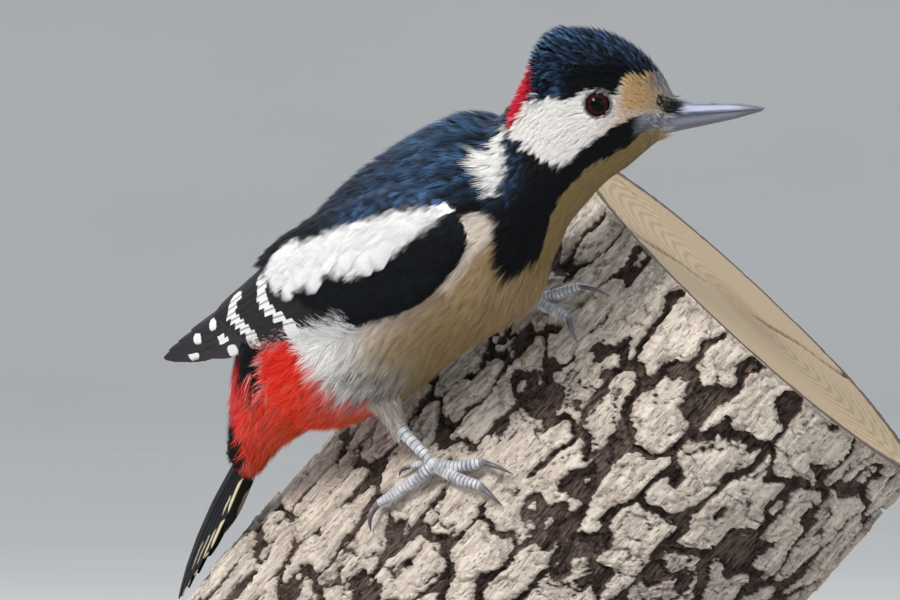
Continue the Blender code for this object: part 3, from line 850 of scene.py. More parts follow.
def growTufts(name, surface, roots, spec, marks):
    # lays one feather at each root, along the surface and rising from the skin to the tips' level
    style = {**plainStyle, **spec}
    a, b = roots
    count = len(a)
    along, across, triangles, barb = tuftShape(style["barbs"], style["split"], style["blunt"])
    small = 1e-3
    here = surface(a, b, 0.0)
    toA = (surface(a + small, b, 0.0) - surface(a - small, b, 0.0)) / (2 * small)
    toB = (surface(a, b + small, 0.0) - surface(a, b - small, 0.0)) / (2 * small)
    out = unit(np.cross(toA, toB))
    outward = surface(a, b, 0.5) - here
    out = out * np.where((out * outward).sum(-1) < 0, -1, 1)[:, None]
    rear = unit(toA) * style["rear"]
    swing = valueAt(style["swing"], a, b) + draw.normal(0, style["messy"], count)
    ahead = rear * np.cos(swing)[:, None] + np.cross(out, rear) * np.sin(swing)[:, None]
    beside = np.cross(out, ahead)
    length = valueAt(style["length"], a, b) * draw.uniform(0.82, 1.15, count)
    half = valueAt(style["half"], a, b) * draw.uniform(0.85, 1.15, count)
    barbLong = draw.uniform(1 - style["ragged"], 1 + style["ragged"], (count, barb.max() + 1))
    barbLong[:, 0] = 1.0
    barbSide = draw.normal(0, style["splay"], (count, barb.max() + 1))
    barbSide[:, 0] = 0.0
    u = along[None, :] * np.where(barb > 0, barbLong[:, barb], 1.0)
    v = across[None, :] + barbSide[:, barb] * np.clip(along[None, :] - style["split"], 0, 1)
    x = length[:, None] * u
    y = half[:, None] * v
    move = ahead[:, None, :] * x[..., None] + beside[:, None, :] * y[..., None]
    newA, newB = slide(a, b, toA, toB, move)
    depth = valueAt(style["depth"], a, b)[:, None]
    tipLift = valueAt(style["stand"], a, b)[:, None] + draw.normal(0, style["uneven"], count)[:, None]
    rise = (depth * 0.96 + tipLift) * np.clip(u, 0, 1.3) ** 0.75
    points = surface(newA, newB, -depth + rise - half[:, None] * 0.22 * across[None, :] ** 2)
    middleA, middleB = newA[:, len(along) // 3], newB[:, len(along) // 3]
    tone = marks(middleA, middleB)
    light = draw.normal(1.0, style["mottle"], (count, 1))
    tips, share = style["tips"](middleA, middleB, tone)
    reach = np.clip(u, 0, 1)[..., None]
    coat = (tone * light)[:, None, :] * (1.04 - style["shadow"] * (1 - reach))
    coat = np.clip(coat + (tips[:, None, :] - coat) * share[:, None, None] * reach**1.2, 0, 1)
    rootU, rootV = (0.01 + 0.98 * (at - at.min()) / max(np.ptp(at), 1e-6) for at in (a, b))
    bake = np.stack([rootU[:, None] + (u - 0.5) * 0.003, rootV[:, None] + v * 0.0013], -1)
    faces = (triangles[None] + (np.arange(count) * len(along))[:, None, None]).reshape(-1, 3)
    first, second, third = (points[:, triangles[0, k]] for k in range(3))
    turned = (np.cross(second - first, third - first) * out).sum(-1).mean() < 0
    faces = faces[:, ::-1] if turned else faces
    coat, bake = {"coat": coat.reshape(-1, 3)}, np.clip(bake, 0, 1).reshape(-1, 2)
    print(f"{name}: {count} tufts, {len(faces)} triangles")
    addPiece(name, buildMesh(name, points.reshape(-1, 3), faces, coat, bake), "plumage", style["slot"])


def growCoat(name, surface, spec, marks):
    style = {**plainStyle, **spec}
    roots = scatter(surface, style["range"], style["across"], style["spacing"], style["keep"])
    growTufts(name, surface, roots, style, marks)


def degrees(b):
    return np.degrees(np.abs((b + math.pi) % (2 * math.pi) - math.pi))


def blueSheenTips(tone, place, share, seed, pale=1.9):
    # painted sheen: black feathers end in a painted blue sheen, in soft patches
    x, y, z = np.moveaxis(place, -1, 0)
    patch = ramp(drift(x / 2.6, y / 2.6, z / 2.6, seed) + 0.5 * draw.normal(0, 1, len(x)), 0.15, 1.1)
    dark = fall(tone.max(-1), 0.03, 0.02)
    return colours["blue"] * draw.uniform(0.5, pale, (len(x), 1)), (0.12 + 0.88 * patch) * dark * share


def plainTips(colour, most):
    # a random part of the feathers ends in another colour
    def tips(a, b, tone):
        share = draw.uniform(0, 1, len(a)) ** 2 * most * ramp(tone.max(-1), 0.1, 0.1)
        return np.tile(colours[colour], (len(a), 1)), share

    return tips


def plainMarks(colour):
    return lambda a, b: np.tile(colours[colour], (len(a), 1))


def coatMarks(a, b):
    # with grey streaks where the thigh comes out of the flank
    streak = bell(a, degrees(b), (10.8, 140), (0.5, 19)) * draw.random(len(a))
    tone = blend(bodyMarks(a, b, 1.0), np.clip(streak * 1.2, 0, 1), "white")
    return blend(tone, np.clip(streak * 1.5, 0, 1) * (draw.random(len(a)) > 0.42), "slate")


def coatSheenTips(a, b, tone):
    # painted blue sheen over the crown, the neck and the back
    deg = degrees(b)
    crown = fall(deg, 40 + 5 * np.clip(a - 3, 0, 2.4), 34) * ramp(a, 1.2, 1.6)
    crown = np.maximum(crown, ramp(a, 4.8, 0.9))
    back = fall(deg, 88, 24) * fall(a, 9.7, 1.9)
    place = bodySurface(a, b)
    neck = ramp(17.0 - place[..., 0], 0.0, 5.0) * fall(deg, 100 - 13 * (a - 6), 18)
    share = np.where((a < 5.6) & (deg < 78), crown, np.where(a < 8.3, neck, back))
    return blueSheenTips(tone, place, np.clip(share, 0, 1), 8, np.where(a < 5.6, 3.6, 1.9)[:, None])


def band(low, high):
    return lambda a, b: ((degrees(b) >= low) & (degrees(b) < high)) * 1.0


def faceKeep(a, b):
    # leaves the eyes free
    place = bodySurface(a, b)
    away = np.hypot(place[..., 0] - eyes["x"], place[..., 2] - eyes["z"])
    free = (away > 3.55) | (np.abs(place[..., 1] - eyes["midline"]) < 6)
    return (degrees(b) >= 60) * free * 1.0


def ventKeep(a, b):
    return (degrees(b) >= np.where(a < 12.7, np.interp(a, [11.5, 12.7], [98, 86]), 36)) * 1.0


plumage = {
    "coatCrown": {
        "range": (0.7, 6.3), "spacing": 0.76, "keep": band(0, 62), "slot": "plumage_head",
        "length": curve([0.6, 2, 6], [1.5, 2.1, 2.8]), "half": 0.46, "barbs": 5, "split": 0.25,
        "stand": curve([0.6, 2, 3.6, 4.3, 5.1, 5.3, 5.5, 6.3], [0.05, 0.25, 0.4, 0.6, 2.2, 2.4, 0.5, 0.0]),
        "messy": 0.34, "uneven": 0.25, "splay": 0.3, "ragged": 0.25, "mottle": 0.15,
    },
    "coatFace": {
        "range": (0.12, 6.3), "spacing": 0.7, "keep": faceKeep, "slot": "plumage_head",
        "length": curve([0.1, 1, 3, 6], [1.2, 1.7, 2.1, 2.7]), "half": curve([0.1, 3, 6], [0.36, 0.42, 0.5]),
        "barbs": 5, "split": 0.3, "stand": curve([0, 3, 6], [0.0, 0.05, 0.15]),
        "messy": 0.1, "uneven": 0.025, "mottle": 0.025, "shadow": 0.07,
    },
    "coatNeck": {
        "range": (6.1, 8.7), "spacing": 1.12, "keep": lambda a, b: ((a < 8.1) | (degrees(b) > 40)) * 1.0,
        "length": curve([6, 8.2], [4.0, 5.4]), "half": 0.8, "barbs": 6, "split": 0.28,
        "stand": curve([6, 7.4, 8.2], [0.2, 0.3, 0.9]), "slot": "plumage_neck", "mottle": 0.1,
    },
    "coatBack": {
        "range": (8.0, 12.6), "spacing": 1.35, "keep": band(0, 66), "slot": "plumage_body",
        "length": 6.0, "half": 1.15, "barbs": 7, "split": 0.32, "stand": 0.35, "mottle": 0.15,
    },
    "coatBreast": {
        "range": (8.3, 10.6), "spacing": 1.25, "keep": band(64, 181), "slot": "plumage_body",
        "length": curve([8, 10.6], [5.2, 6.5]), "half": 0.85, "barbs": 7, "split": 0.3, "stand": 0.1,
        "mottle": 0.07,
    },
    "coatFlank": {
        "range": (10.4, 12.1), "spacing": 1.08, "keep": band(64, 181), "slot": "plumage_body",
        "length": 8.0, "half": 0.85, "barbs": 6, "split": 0.12, "stand": 0.5,
        "messy": 0.22, "ragged": 0.3, "splay": 0.35, "uneven": 0.2, "mottle": 0.05, "shadow": 0.1,
    },
    "coatVent": {
        "range": (11.5, 14.95), "spacing": 1.0, "keep": ventKeep, "slot": "plumage_body",
        "length": curve([11.5, 13, 15], [9.0, 9.0, 8.0]), "half": 0.8, "barbs": 5, "split": 0.1,
        "stand": curve([11.5, 12.9, 13.3], [0.25, 0.25, 0.7]), "tips": plainTips("pink", 0.35),
        "messy": 0.26, "ragged": 0.35, "splay": 0.4, "uneven": 0.3, "mottle": 0.14,
    },
    "coatRump": {
        "range": (12.2, 14.8), "spacing": 1.5, "keep": band(0, 70), "slot": "plumage_body",
        "length": 6.0, "half": 1.2, "barbs": 6, "split": 0.35, "stand": 0.2, "mottle": 0.12,
    },
}
for name, spec in plumage.items():
    growCoat(name, bodySurface, {"depth": coatDepth, "tips": coatSheenTips, **spec}, coatMarks)


def nostrilKeep(a, b):
    # the dark tuft that covers the nostril
    low, high = np.interp(a, [1.0, 1.5, 2.0], [28, 52, 66]), np.interp(a, [1.0, 1.5, 2.0], [78, 78, 80])
    return ((degrees(b) >= low) & (degrees(b) < high)) * 1.0


bristleStyle = {
    "messy": 0.22, "ragged": 0.3, "splay": 0.5, "uneven": 0.25, "depth": 0.5, "half": 0.34, "barbs": 3,
    "split": 0.12, "rear": -1.0, "mottle": 0.2, "slot": "plumage_head",
}
bristles = {
    "coatNostril": {
        "range": (1.05, 2.02), "keep": nostrilKeep, "tone": "pitch", "tips": plainTips("mist", 0.35),
        "length": curve([1.0, 2.1], [3.0, 4.4]), "stand": curve([1.2, 2.0], [0.4, 0.9]), "spacing": 0.38,
        "mottle": 0.1,
    },
    "coatForehead": {
        "range": (1.1, 2.0), "keep": band(0, 44), "tone": "ash", "tips": plainTips("tan", 0.8),
        "length": curve([1.0, 1.9], [2.2, 3.8]), "stand": 0.25, "spacing": 0.7,
    },
    "coatGape": {
        "range": (1.15, 2.15), "keep": band(80, 126), "tone": "steel", "tips": plainTips("white", 0.8),
        "length": curve([1.0, 2.0], [2.4, 3.6]), "stand": 0.45, "spacing": 0.66, "mottle": 0.45,
    },
    "coatChin": {
        "range": (1.05, 1.9), "keep": band(126, 181), "tone": "buff", "tips": plainTips("cream", 0.7),
        "length": curve([1.0, 1.9], [2.2, 3.4]), "stand": 0.2, "spacing": 0.75,
    },
}
for name, spec in bristles.items():
    growCoat(name, muzzleSurface, {**bristleStyle, **spec}, plainMarks(spec["tone"]))


# distance ahead of the body's middle, half height and half width, top and low edge in degrees from the back
wingRows = (
    (47.0, 22.2, 22.6, 64.0, 98.0),
    (44.0, 23.4, 23.4, 50.0, 106.0),
    (36.0, 25.6, 24.4, 38.0, 111.0),
    (22.0, 27.0, 24.8, 31.0, 112.0),
    (8.0, 27.0, 24.6, 26.0, 104.0),
    (-6.0, 26.2, 23.4, 21.0, 92.0),
    (-20.0, 24.6, 20.6, 15.0, 84.0),
    (-34.0, 22.0, 16.4, 9.0, 74.0),
    (-48.0, 20.0, 11.6, 6.0, 61.0),
    (-62.0, 19.2, 7.2, 6.0, 48.0),
    (-71.0, 19.2, 4.0, 10.0, 42.0),
    (-75.5, 19.2, 2.4, 18.0, 34.0),
)
wingMiddle = np.array([-15.1, 0.0, 4.3])
lean, turn = math.radians(35.5), math.radians(40.0)
wingAhead = np.array([math.cos(turn) * math.cos(lean), -math.sin(turn), math.cos(turn) * math.sin(lean)])
wingUp = np.array([-math.sin(lean), 0.0, math.cos(lean)])
wingRight = unit(np.cross(wingAhead, wingUp))
wingIndex = np.linspace(0, len(wingRows) - 1, 600)
wingTable = smooth(wingRows, wingIndex)


def wingRow(s):
    return [np.interp(-np.asarray(s, float), -wingTable[:, 0], wingTable[:, k]) for k in (1, 2, 3, 4)]


def wingThick(s):
    share = np.interp(-np.asarray(s, float), -wingTable[:, 0], wingIndex / (len(wingRows) - 1))
    return 3.2 - 1.9 * share**0.8


def wingPlace(s, angle, lift, sign):
    # sign is 1 for the right wing and -1 for the left
    s, angle, lift = np.broadcast_arrays(s, angle, lift)
    high, wide, _, _ = wingRow(s)
    over = (high + lift) * np.cos(angle)
    out = np.maximum((wide + lift) * np.sin(angle), 0.45)
    along = wingMiddle + wingAhead * s[..., None]
    return along + wingUp * over[..., None] + wingRight * (sign * out)[..., None]


def wingHeights(sign):
    # how high the wing's middle lies over the body, every 2 mm along the wing and every 2 degrees across it
    s, deg = np.linspace(-76, 48, 63)[:, None], np.linspace(0, 120, 61)[None, :]
    wing = wingPlace(s, np.radians(deg), 0.0, sign)
    at, angle = np.linspace(5.5, 15, 240)[:, None], sign * np.linspace(0, math.pi, 160)[None, :]
    body = bodySurface(at, angle)
    out = unit(bodySurface(at, angle, 1.0) - body).reshape(-1, 3)
    tree = treeOf(body.reshape(-1, 3))
    near = np.array([tree.find(place)[1] for place in wing.reshape(-1, 3).tolist()])
    height = ((wing.reshape(-1, 3) - body.reshape(-1, 3)[near]) * out[near]).sum(-1)
    return np.clip(height, 0, 6).reshape(wing.shape[:2])


wingOver = {sign: wingHeights(sign) for sign in (1.0, -1.0)}


def wingSettle(s, angle, sign):
    # how far the wing's edges sink into the coat at the shoulder, on the back and along the flank
    _, _, top, low = wingRow(s)
    deg = np.degrees(angle)
    i, j = np.clip((s + 76) / 2, 0, 61.99), np.clip(deg / 2, 0, 59.99)
    row, column = i.astype(int), j.astype(int)
    u, v = i - row, j - column
    grid = wingOver[sign]
    near = grid[row, column] * (1 - v) + grid[row, column + 1] * v
    far = grid[row + 1, column] * (1 - v) + grid[row + 1, column + 1] * v
    front = np.exp(-np.maximum(46 - s, 0) / 5.5)
    lower = np.exp(-np.maximum(low - 1 - deg, 0) / 4.5) * ramp(s, -6, 24)
    upper = np.exp(-np.maximum(deg - top - 3, 0) / 8.0) * ramp(s, 0, 30)
    weight = np.clip(front + lower + upper, 0, 1)
    return weight * (near + (far - near) * u + 0.2 + 0.9 * weight**2)


def wingSurface(sign):
    def surface(s, angle, lift=0.0):
        s, angle, lift = np.broadcast_arrays(s, angle, lift)
        return wingPlace(s, angle, lift - wingSettle(s, angle, sign), sign)

    return surface


# edges of the white over the shoulder blades, in degrees
scapularTop = curve(
    [-18, -16, -13, -5.5, -1, 6, 15, 21, 35, 44, 47],
    [52, 41, 32, 33.5, 41, 46, 50.5, 54.5, 62.5, 71, 77],
)
scapularLow = curve(
    [-18, -16, -12, -3, 5, 9, 12, 15, 22, 29, 38, 45],
    [51, 53, 57, 63, 65, 67, 71.5, 76.5, 78, 78, 77, 74],
)


def wingMarks(s, deg):
    patch = ramp(deg, scapularTop(s), 3) * ramp(3 - deg, -scapularLow(s), 2)
    patch = patch * ramp(s, -17.5, 1.5) * fall(s, 45.5, 1.5)
    return blend(colours["black"] * np.ones((*np.shape(s), 1)), patch, "white")


def makeWingBase(name, sign, start, node):
    # the closed body of the wing, under its feathers
    surface = wingSurface(sign)
    s = np.linspace(start, -72.0, 110)
    _, _, top, low = wingRow(s)
    low = low - 14 * ramp(-s, 52, 30)
    share = np.linspace(0, 1, 40)
    angle = np.radians(top[:, None] + (low - top)[:, None] * share[None, :])
    outer = (-0.35 * wingThick(s) - 1.0 * ramp(-s, 20, 20))[:, None]
    over, under = (surface(s[:, None], angle, lift) for lift in (outer, outer - 0.7))
    rings = np.concatenate([over, under[:, ::-1]], 1)
    tone = wingMarks(*np.broadcast_arrays(s[:, None], np.degrees(angle)))
    tone = np.concatenate([tone, np.tile(colours["soot"], (len(s), len(share), 1))], 1).reshape(-1, 3)
    tone = np.concatenate([tone, tone[:1], tone[-1:]])
    addPiece(name, buildMesh(name, *lathe(rings), {"coat": tone}), "plumage", "plumage_wing", (node,))


def closeVane(top, under):
    # a thin closed sheet from a grid of points and the matching grid below it
    n, m = top.shape[:2]
    quads = gridFaces(n, m)
    right, end = np.arange(2 * m - 1, n * m, m), np.arange(n * m - 2, (n - 1) * m - 1, -1)
    edge = np.concatenate([np.arange(m), right, end, np.arange((n - 2) * m, 0, -m)])
    after = np.roll(edge, -1)
    rim = np.stack([after, edge, edge + n * m, after + n * m], -1)
    points = np.concatenate([top.reshape(-1, 3), under.reshape(-1, 3)])
    return points, facingOut(points, np.concatenate([quads, quads[:, ::-1] + n * m, rim]))


# steps: points along; bow: sideways curve; blunt: how square the end is; camber: how far the edges drop
plainVane = {"steps": 56, "bow": 0.0, "blunt": 2.2, "camber": 0.3, "spots": None, "spotTone": "white"}


def layVanes(name, surface, vanes, slot, instead=()):
    # each vane: start and end along and across the surface, half width, lift, tip, spots and colour
    allPoints, allFaces, allBake = [], [], []
    layers = {"coat": [], "spotCoat": [], "across": [], "along": [], "spot": []}
    count = 0
    for index, spec in enumerate(vanes):
        vane = {**plainVane, **spec}
        n, m = vane["steps"], 11
        t = np.linspace(0, 1, n)[:, None]
        v = np.linspace(-1, 1, m)[None, :]
        a = vane["a"][0] + (vane["a"][1] - vane["a"][0]) * t
        b = vane["b"][0] + (vane["b"][1] - vane["b"][0]) * t + vane["bow"] * np.sin(math.pi * t)
        tip = 1 - np.clip((t - vane["tip"]) / (1 - vane["tip"]), 0, 1) ** vane["blunt"]
        half = vane["half"] * np.clip(t / 0.1, 0.3, 1) ** 0.5 * np.maximum(tip, 0.02) ** 0.6
        small = 1e-3
        perB = np.linalg.norm(surface(a, b + small, 0.0) - surface(a, b, 0.0), axis=-1) / small
        lift = vane["lift"][0] + (vane["lift"][1] - vane["lift"][0]) * t**1.4 - vane["camber"] * v**2
        edge = half * (1 + 0.03 * drift(t * 30, v * 0.5, index, 3))
        top = surface(a + 0 * v, b + v * edge / perB, lift)
        under = surface(a + 0 * v, b + v * edge * 0.96 / perB, lift - 0.22)
        points, faces = closeVane(top, under)
        lengthMm = pathLength(top[:, m // 2])[:, None]
        spot = vane["spots"](a + 0 * v, t + 0 * v, v + 0 * t) if vane["spots"] else np.full((n, m), -2.0)
        for key, values in (("across", v + 0 * t), ("along", lengthMm + 0 * v), ("spot", spot)):
            layers[key].append(np.tile(values.ravel(), 2))
        for key, tone in (("coat", vane["tone"]), ("spotCoat", vane["spotTone"])):
            layers[key].append(np.tile(colours[tone], (2 * n * m, 1)))
        allPoints.append(points)
        allFaces.append(faces + count)
        count += len(points)
        strip = 0.5 / len(vanes)
        for sheet in (0, 1):
            u = (2 * index + sheet + 0.5 + 0.42 * v) * strip + 0 * t
            allBake.append(np.stack([u, 0.01 + 0.98 * t + 0 * v], -1).reshape(-1, 2))
    stored = {key: np.concatenate(values) for key, values in layers.items()}
    points, faces, bake = (np.concatenate(values) for values in (allPoints, allFaces, allBake))
    mesh = buildMesh(name, points, faces, stored, bake)
    print(f"{name}: {len(vanes)} vanes, {2 * len(mesh.polygons)} triangles")
    addPiece(name, mesh, "vane", slot, instead)


flight = {
    "secondaries": 7, "barWidth": 2.55,
    # where the two bars cross the secondaries, from the lowest to the highest, in mm along the wing
    "firstBar": curve((0.0, 0.4, 0.63, 1.0), (-21.5, -23.6, -22.2, -16.6)),
    "secondBar": curve((0.0, 0.3, 0.55, 1.0), (-36.4, -39.4, -37.2, -33.0)),
    # each primary's tip, the degrees there and its white spots, from the upper to the lower
    "primaries": (
        (-60.0, 12, (-49.4,)), (-66.0, 14, (-57.4,)), (-70.5, 17, (-47.4,)),
        (-73.5, 22, (-47.0, -61.2)), (-70.5, 29, ()), (-60.5, 42, (-45.0,)),
    ),
}


def barField(places, long, wide, middle):
    # above 0 inside rounded spots, with half lengths in mm along the wing and in widths of the vane
    def field(s, t, v):
        inside = np.full(np.shape(s), -9.0)
        for place in places:
            spot = 1 - np.abs((s - place + 0.8 * v) / long) ** 2.5 - np.abs((v - middle) / wide) ** 2.5
            inside = np.maximum(inside, spot)
        return inside

    return field


def secondaryVanes():
    vanes = []
    for i in reversed(range(flight["secondaries"])):
        f = i / (flight["secondaries"] - 1)
        long = flight["barWidth"] + 1.0 * (i == 0)
        vanes.append({
            "a": (10.0, -48.0 + 9.5 * f), "b": np.radians((46 + 44 * f, 27 + 34 * f)), "bow": 0.03,
            "half": 4.0, "lift": (-0.9 - 0.1 * f, 0.95 - 0.5 * f), "tip": 0.86, "tone": "secondary",
            "spots": barField((flight["firstBar"](f), flight["secondBar"](f)), long, 0.86, 0.42),
        })
    return vanes


def primaryVanes():
    vanes = []
    for j, (tip, angle, spots) in reversed(list(enumerate(flight["primaries"]))):
        vanes.append({
            "a": (-14.0, tip), "b": np.radians((48 + 6.5 * j, angle)), "half": 3.5, "bow": 0.05,
            "lift": (-0.9 - 0.12 * j, 0.45 - 0.2 * j), "tip": 0.72, "blunt": 1.7, "tone": "primary",
            "spots": barField(spots, 2.3 if j > 2 else 1.7, 0.5, 0.55), "steps": 72,
        })
    return vanes


def wingTone(a, b):
    # each feather takes the colour of the place where its tip lies
    tone = wingMarks(a - 1.5, np.degrees(b))
    return tone * draw.uniform(1.0, 1.05, (len(a), 1)) * np.array([0.985, 0.995, 1.01])


# painted blue sheen on the black coverts above the white patch, strongest towards the shoulder
def wingSheenTips(a, b, tone):
    share = 0.03 + 0.87 * fall(np.degrees(b), scapularTop(a), 6) * ramp(a, 14, 18)
    return blueSheenTips(tone, wingSurface(1)(a, b), share, 12)


def silky(low, high):
    # longer and broader among the white feathers than among the black
    def value(s, b):
        patch = ramp(np.degrees(b), scapularTop(s) - 2, 4) * fall(np.degrees(b), scapularLow(s), 4)
        return low + (high - low) * patch

    return value


def covertKeep(s, b):
    _, _, top, low = wingRow(s)
    deg = np.degrees(b)
    rear = np.interp(deg, [20, 45, 57, 70, 84, 100], [-22, -12, -9, -4, 1, 6])
    return ((deg > top - 2) & (deg < low - 3.5) & (s > rear)) * 1.0


coverts = {
    "across": (0.0, 2.0), "spacing": 1.15, "keep": covertKeep, "slot": "plumage_wing", "rear": -1.0,
    "length": silky(5.5, 8.0), "half": silky(1.15, 1.7), "barbs": 9, "split": 0.42, "blunt": 0.3,
    "depth": 0.8, "stand": curve([-20, -5, 20, 47], [1.3, 1.0, 0.7, 0.35]), "tips": wingSheenTips,
    "messy": 0.06, "ragged": 0.08, "splay": 0.05, "uneven": 0.02, "mottle": 0.03, "shadow": 0.06,
}
# the broad white feathers whose round tips scallop the lower edge of the patch: each tip in mm along the
# wing and in degrees, and half its width
lobePlaces = (
    (-13.0, 64, 2.4), (-8.6, 63, 2.0), (-3.0, 70, 2.3), (2.2, 68, 1.2), (8.4, 71.5, 1.8), (14.4, 79.5, 2.6),
    (20.0, 80, 2.3),
)
lobeTips, lobeLow, lobeHalf = np.array(lobePlaces).T
lobes = {
    "length": 9.0, "half": lambda a, b: lobeHalf, "slot": "plumage_wing", "angle": 0.3,
    "rear": -1.0, "barbs": 15, "split": 0.7, "blunt": 0.34, "depth": -0.3, "stand": 1.2,
    "tips": plainTips("white", 0.0), "messy": 0.04, "ragged": 0.02, "splay": 0.02, "uneven": 0.12,
    "mottle": 0.03, "shadow": 0.05,
}
for side, sign, start in (("Right", 1.0, 45.5), ("Left", -1.0, 44.0)):
    surface = wingSurface(sign)
    makeWingBase("wing" + side + "Base", sign, start, "wing_" + side.lower())
    layVanes("wing" + side + "Flight", surface, primaryVanes() + secondaryVanes(), "plumage_wing")
    style = {**coverts, "range": (-22.0, start), "swing": 0.12 * sign}
    growCoat("wing" + side + "Coverts", surface, style, wingTone)
    style = {**lobes, "swing": lobes["angle"] * sign}
    roots = lobeTips + lobes["length"] * math.cos(lobes["angle"]), np.radians(lobeLow - 6.0)
    # painted shade: the lobes take a greyer white than the rest of the patch
    growTufts("wing" + side + "Lobes", surface, roots, style, plainMarks("shadedWhite"))

# soft white feathers of the flank that lie over the lower edge of the wing, in a brighter white that is
# painted light
plumes = {
    "range": (10.35, 11.25), "spacing": 0.55, "slot": "plumage_body", "length": 4.6, "half": 0.55,
    "keep": lambda a, b: ((degrees(b) > backLow(a) + 10) & (degrees(b) < backLow(a) + 19)) * 1.0,
    "swing": lambda a, b: -np.interp(a, [10.5, 11.2], [1.75, 1.0]) * np.where(np.sin(b) > 0, 1.0, -1.0),
    "barbs": 4, "split": 0.06, "depth": coatDepth, "stand": curve([10.5, 10.8], [3.4, 2.1]),
    "tips": plainTips("litWhite", 0.5), "messy": 0.2, "ragged": 0.3, "splay": 0.6, "uneven": 0.3, "mottle": 0.03,
    "shadow": 0.05,
}
growCoat("coatPlumes", bodySurface, plumes, plainMarks("litWhite"))
print("wings ready")


tail = {
    "tip": np.array([-68.3, 82.0, -75.8]), "slope": 36.0, "roll": 14.0, "arch": 0.3,
    "places": (0.0, 0.12, 0.35, 0.6, 0.8, 0.93, 1.0), "wide": (5.2, 7.4, 9.4, 8.8, 6.4, 3.2, 0.9),
    # how far each pair of feathers reaches and how wide its pale edge is, from the middle pair outwards
    "reach": (1.0, 0.95, 0.86, 0.75, 0.6), "edge": (0.0, 0.1, 0.14, 0.24, 0.5),
}


def tailFrame():
    # the tail's root, and its directions to the right and up
    row = smooth(bodyRows, bodyEnd)
    up, side = sectionAxes(row)
    start = row[:3] + unit(tail["tip"] - row[:3]) * 0.3
    along = unit(tail["tip"] - start)
    right = unit(side - along * (side @ along))
    top = unit(np.cross(along, right))
    top = -top if top @ up < 0 else top
    roll = math.radians(tail["roll"])
    c, s = math.cos(roll), math.sin(roll)
    return start, right * c - top * s, top * c + right * s


tailStart, tailRight, tailTop = tailFrame()


def tailSurface(t, x, lift=0.0):
    t, x, lift = np.broadcast_arrays(t, x, lift)
    drop = np.sqrt(x * x + 0.3) * math.tan(math.radians(tail["slope"])) * 0.85
    crown = np.interp(t, tail["places"], tail["wide"]) * 0.25
    rise = tail["arch"] * np.sin(math.pi * t) + crown - drop + lift
    along = tailStart + (tail["tip"] - tailStart) * t[..., None]
    return along + tailRight * x[..., None] + tailTop * rise[..., None]


def paleEdge(sign, width, first):
    # a pale line along the outer edge, notched by bars of the dark ground
    def field(a, t, v):
        notch = 1.6 * np.abs(np.sin(t * 8.5 + 0.5)) ** 8
        return np.minimum((sign * v - 1 + width) * 2.5 - notch, (t - first) * 10)

    return field


def tailVanes():
    vanes = []
    for j, (reach, edge) in reversed(list(enumerate(zip(tail["reach"], tail["edge"])))):
        for sign in (1.0, -1.0):
            x = sign * (0.7 + 1.45 * j)
            vanes.append({
                "a": (-0.06, reach), "b": (x * 0.35, x * (0.9 if j else 0.6)), "bow": x * 0.28,
                "half": 2.6 - 0.12 * j, "lift": (0.5 - 0.3 * j, 0.9 - 0.38 * j), "steps": 64,
                "tip": 0.6 if j < 3 else 0.76, "blunt": 1.4, "camber": 0.2, "tone": "tail",
                "spots": paleEdge(sign, edge, 0.75 - 0.15 * j) if edge else None, "spotTone": "tailEdge",
            })
    return vanes


layVanes("tailFlight", tailSurface, tailVanes(), "plumage_tail", ("tail",))
print("tail ready")


log = {
    "axis": (0.659, -0.121, 0.742), "face": (-0.718, -0.397, 0.572), "middle": (46.1, 44.2, -33.7),
    "across": 70.0, "deep": 55.0, "top": 42.0, "footLevel": -91.0, "rows": 236, "around": 560,
    "plateWide": 13.0, "plateLong": 25.0, "furrowDeep": 4.6, "chipDeep": 1.6, "hold": 4.0,
    # rings of points over a sawn end, as shares of the way from its middle to the rim
    "insets": (0.985, 0.965, 0.94, 0.9, 0.85, 0.78, 0.7, 0.62, 0.54, 0.46, 0.38, 0.3, 0.22, 0.14, 0.06),
    # drying cracks that run in from the rim: their turn, inner end and half width
    "cracks": ((0.4, 0.3, 0.9), (2.3, 0.55, 0.6), (3.7, 0.1, 1.2), (5.2, 0.62, 0.6)), "crackDeep": 1.6,
}
logAxis = unit(log["axis"])
logFace = unit(np.array(log["face"]) - logAxis * (np.array(log["face"]) @ logAxis))
logAcross = np.cross(logAxis, logFace)
logMiddle = np.array(log["middle"])


def logRadius(angle):
    plain = 1.0 / np.hypot(np.cos(angle) / log["deep"], np.sin(angle) / log["across"])
    away = 0.5 - 0.5 * np.cos(angle)
    return plain * (1.0 + away * (0.03 * np.sin(3 * angle + 0.6) + 0.02 * np.sin(5 * angle + 2.0)))


def onBark(x, z, height):
    # the place with this x and z that lies at a height over the viewer's side of the bark
    near, far = -70.0, 45.0
    for _ in range(30):
        middle = 0.5 * (near + far)
        out = np.array([x, middle, z]) - logMiddle
        deep, wide = out @ logFace, out @ logAcross
        if math.hypot(deep, wide) - float(logRadius(math.atan2(wide, deep))) > height:
            near = middle
        else:
            far = middle
    return np.array([x, near, z])


def cells(x, y, columns, seed):
    # distance to the edge between jittered cells, and a random value for each; x repeats after columns
    jitter = np.random.default_rng(seed).random((columns, 64, 3))
    cx, cy = np.floor(x).astype(int), np.floor(y).astype(int)
    best = np.full(x.shape, 9.0)
    second = np.full(x.shape, 9.0)
    value = np.zeros(x.shape)
    for i in (-1, 0, 1):
        for j in (-1, 0, 1):
            spot = jitter[(cx + i) % columns, (cy + j) % 64]
            gap = np.hypot(cx + i + 0.15 + 0.7 * spot[..., 0] - x, cy + j + 0.15 + 0.7 * spot[..., 1] - y)
            closer = gap < best
            second = np.where(closer, best, np.minimum(second, gap))
            value = np.where(closer, spot[..., 2], value)
            best = np.where(closer, gap, best)
    return second - best, value


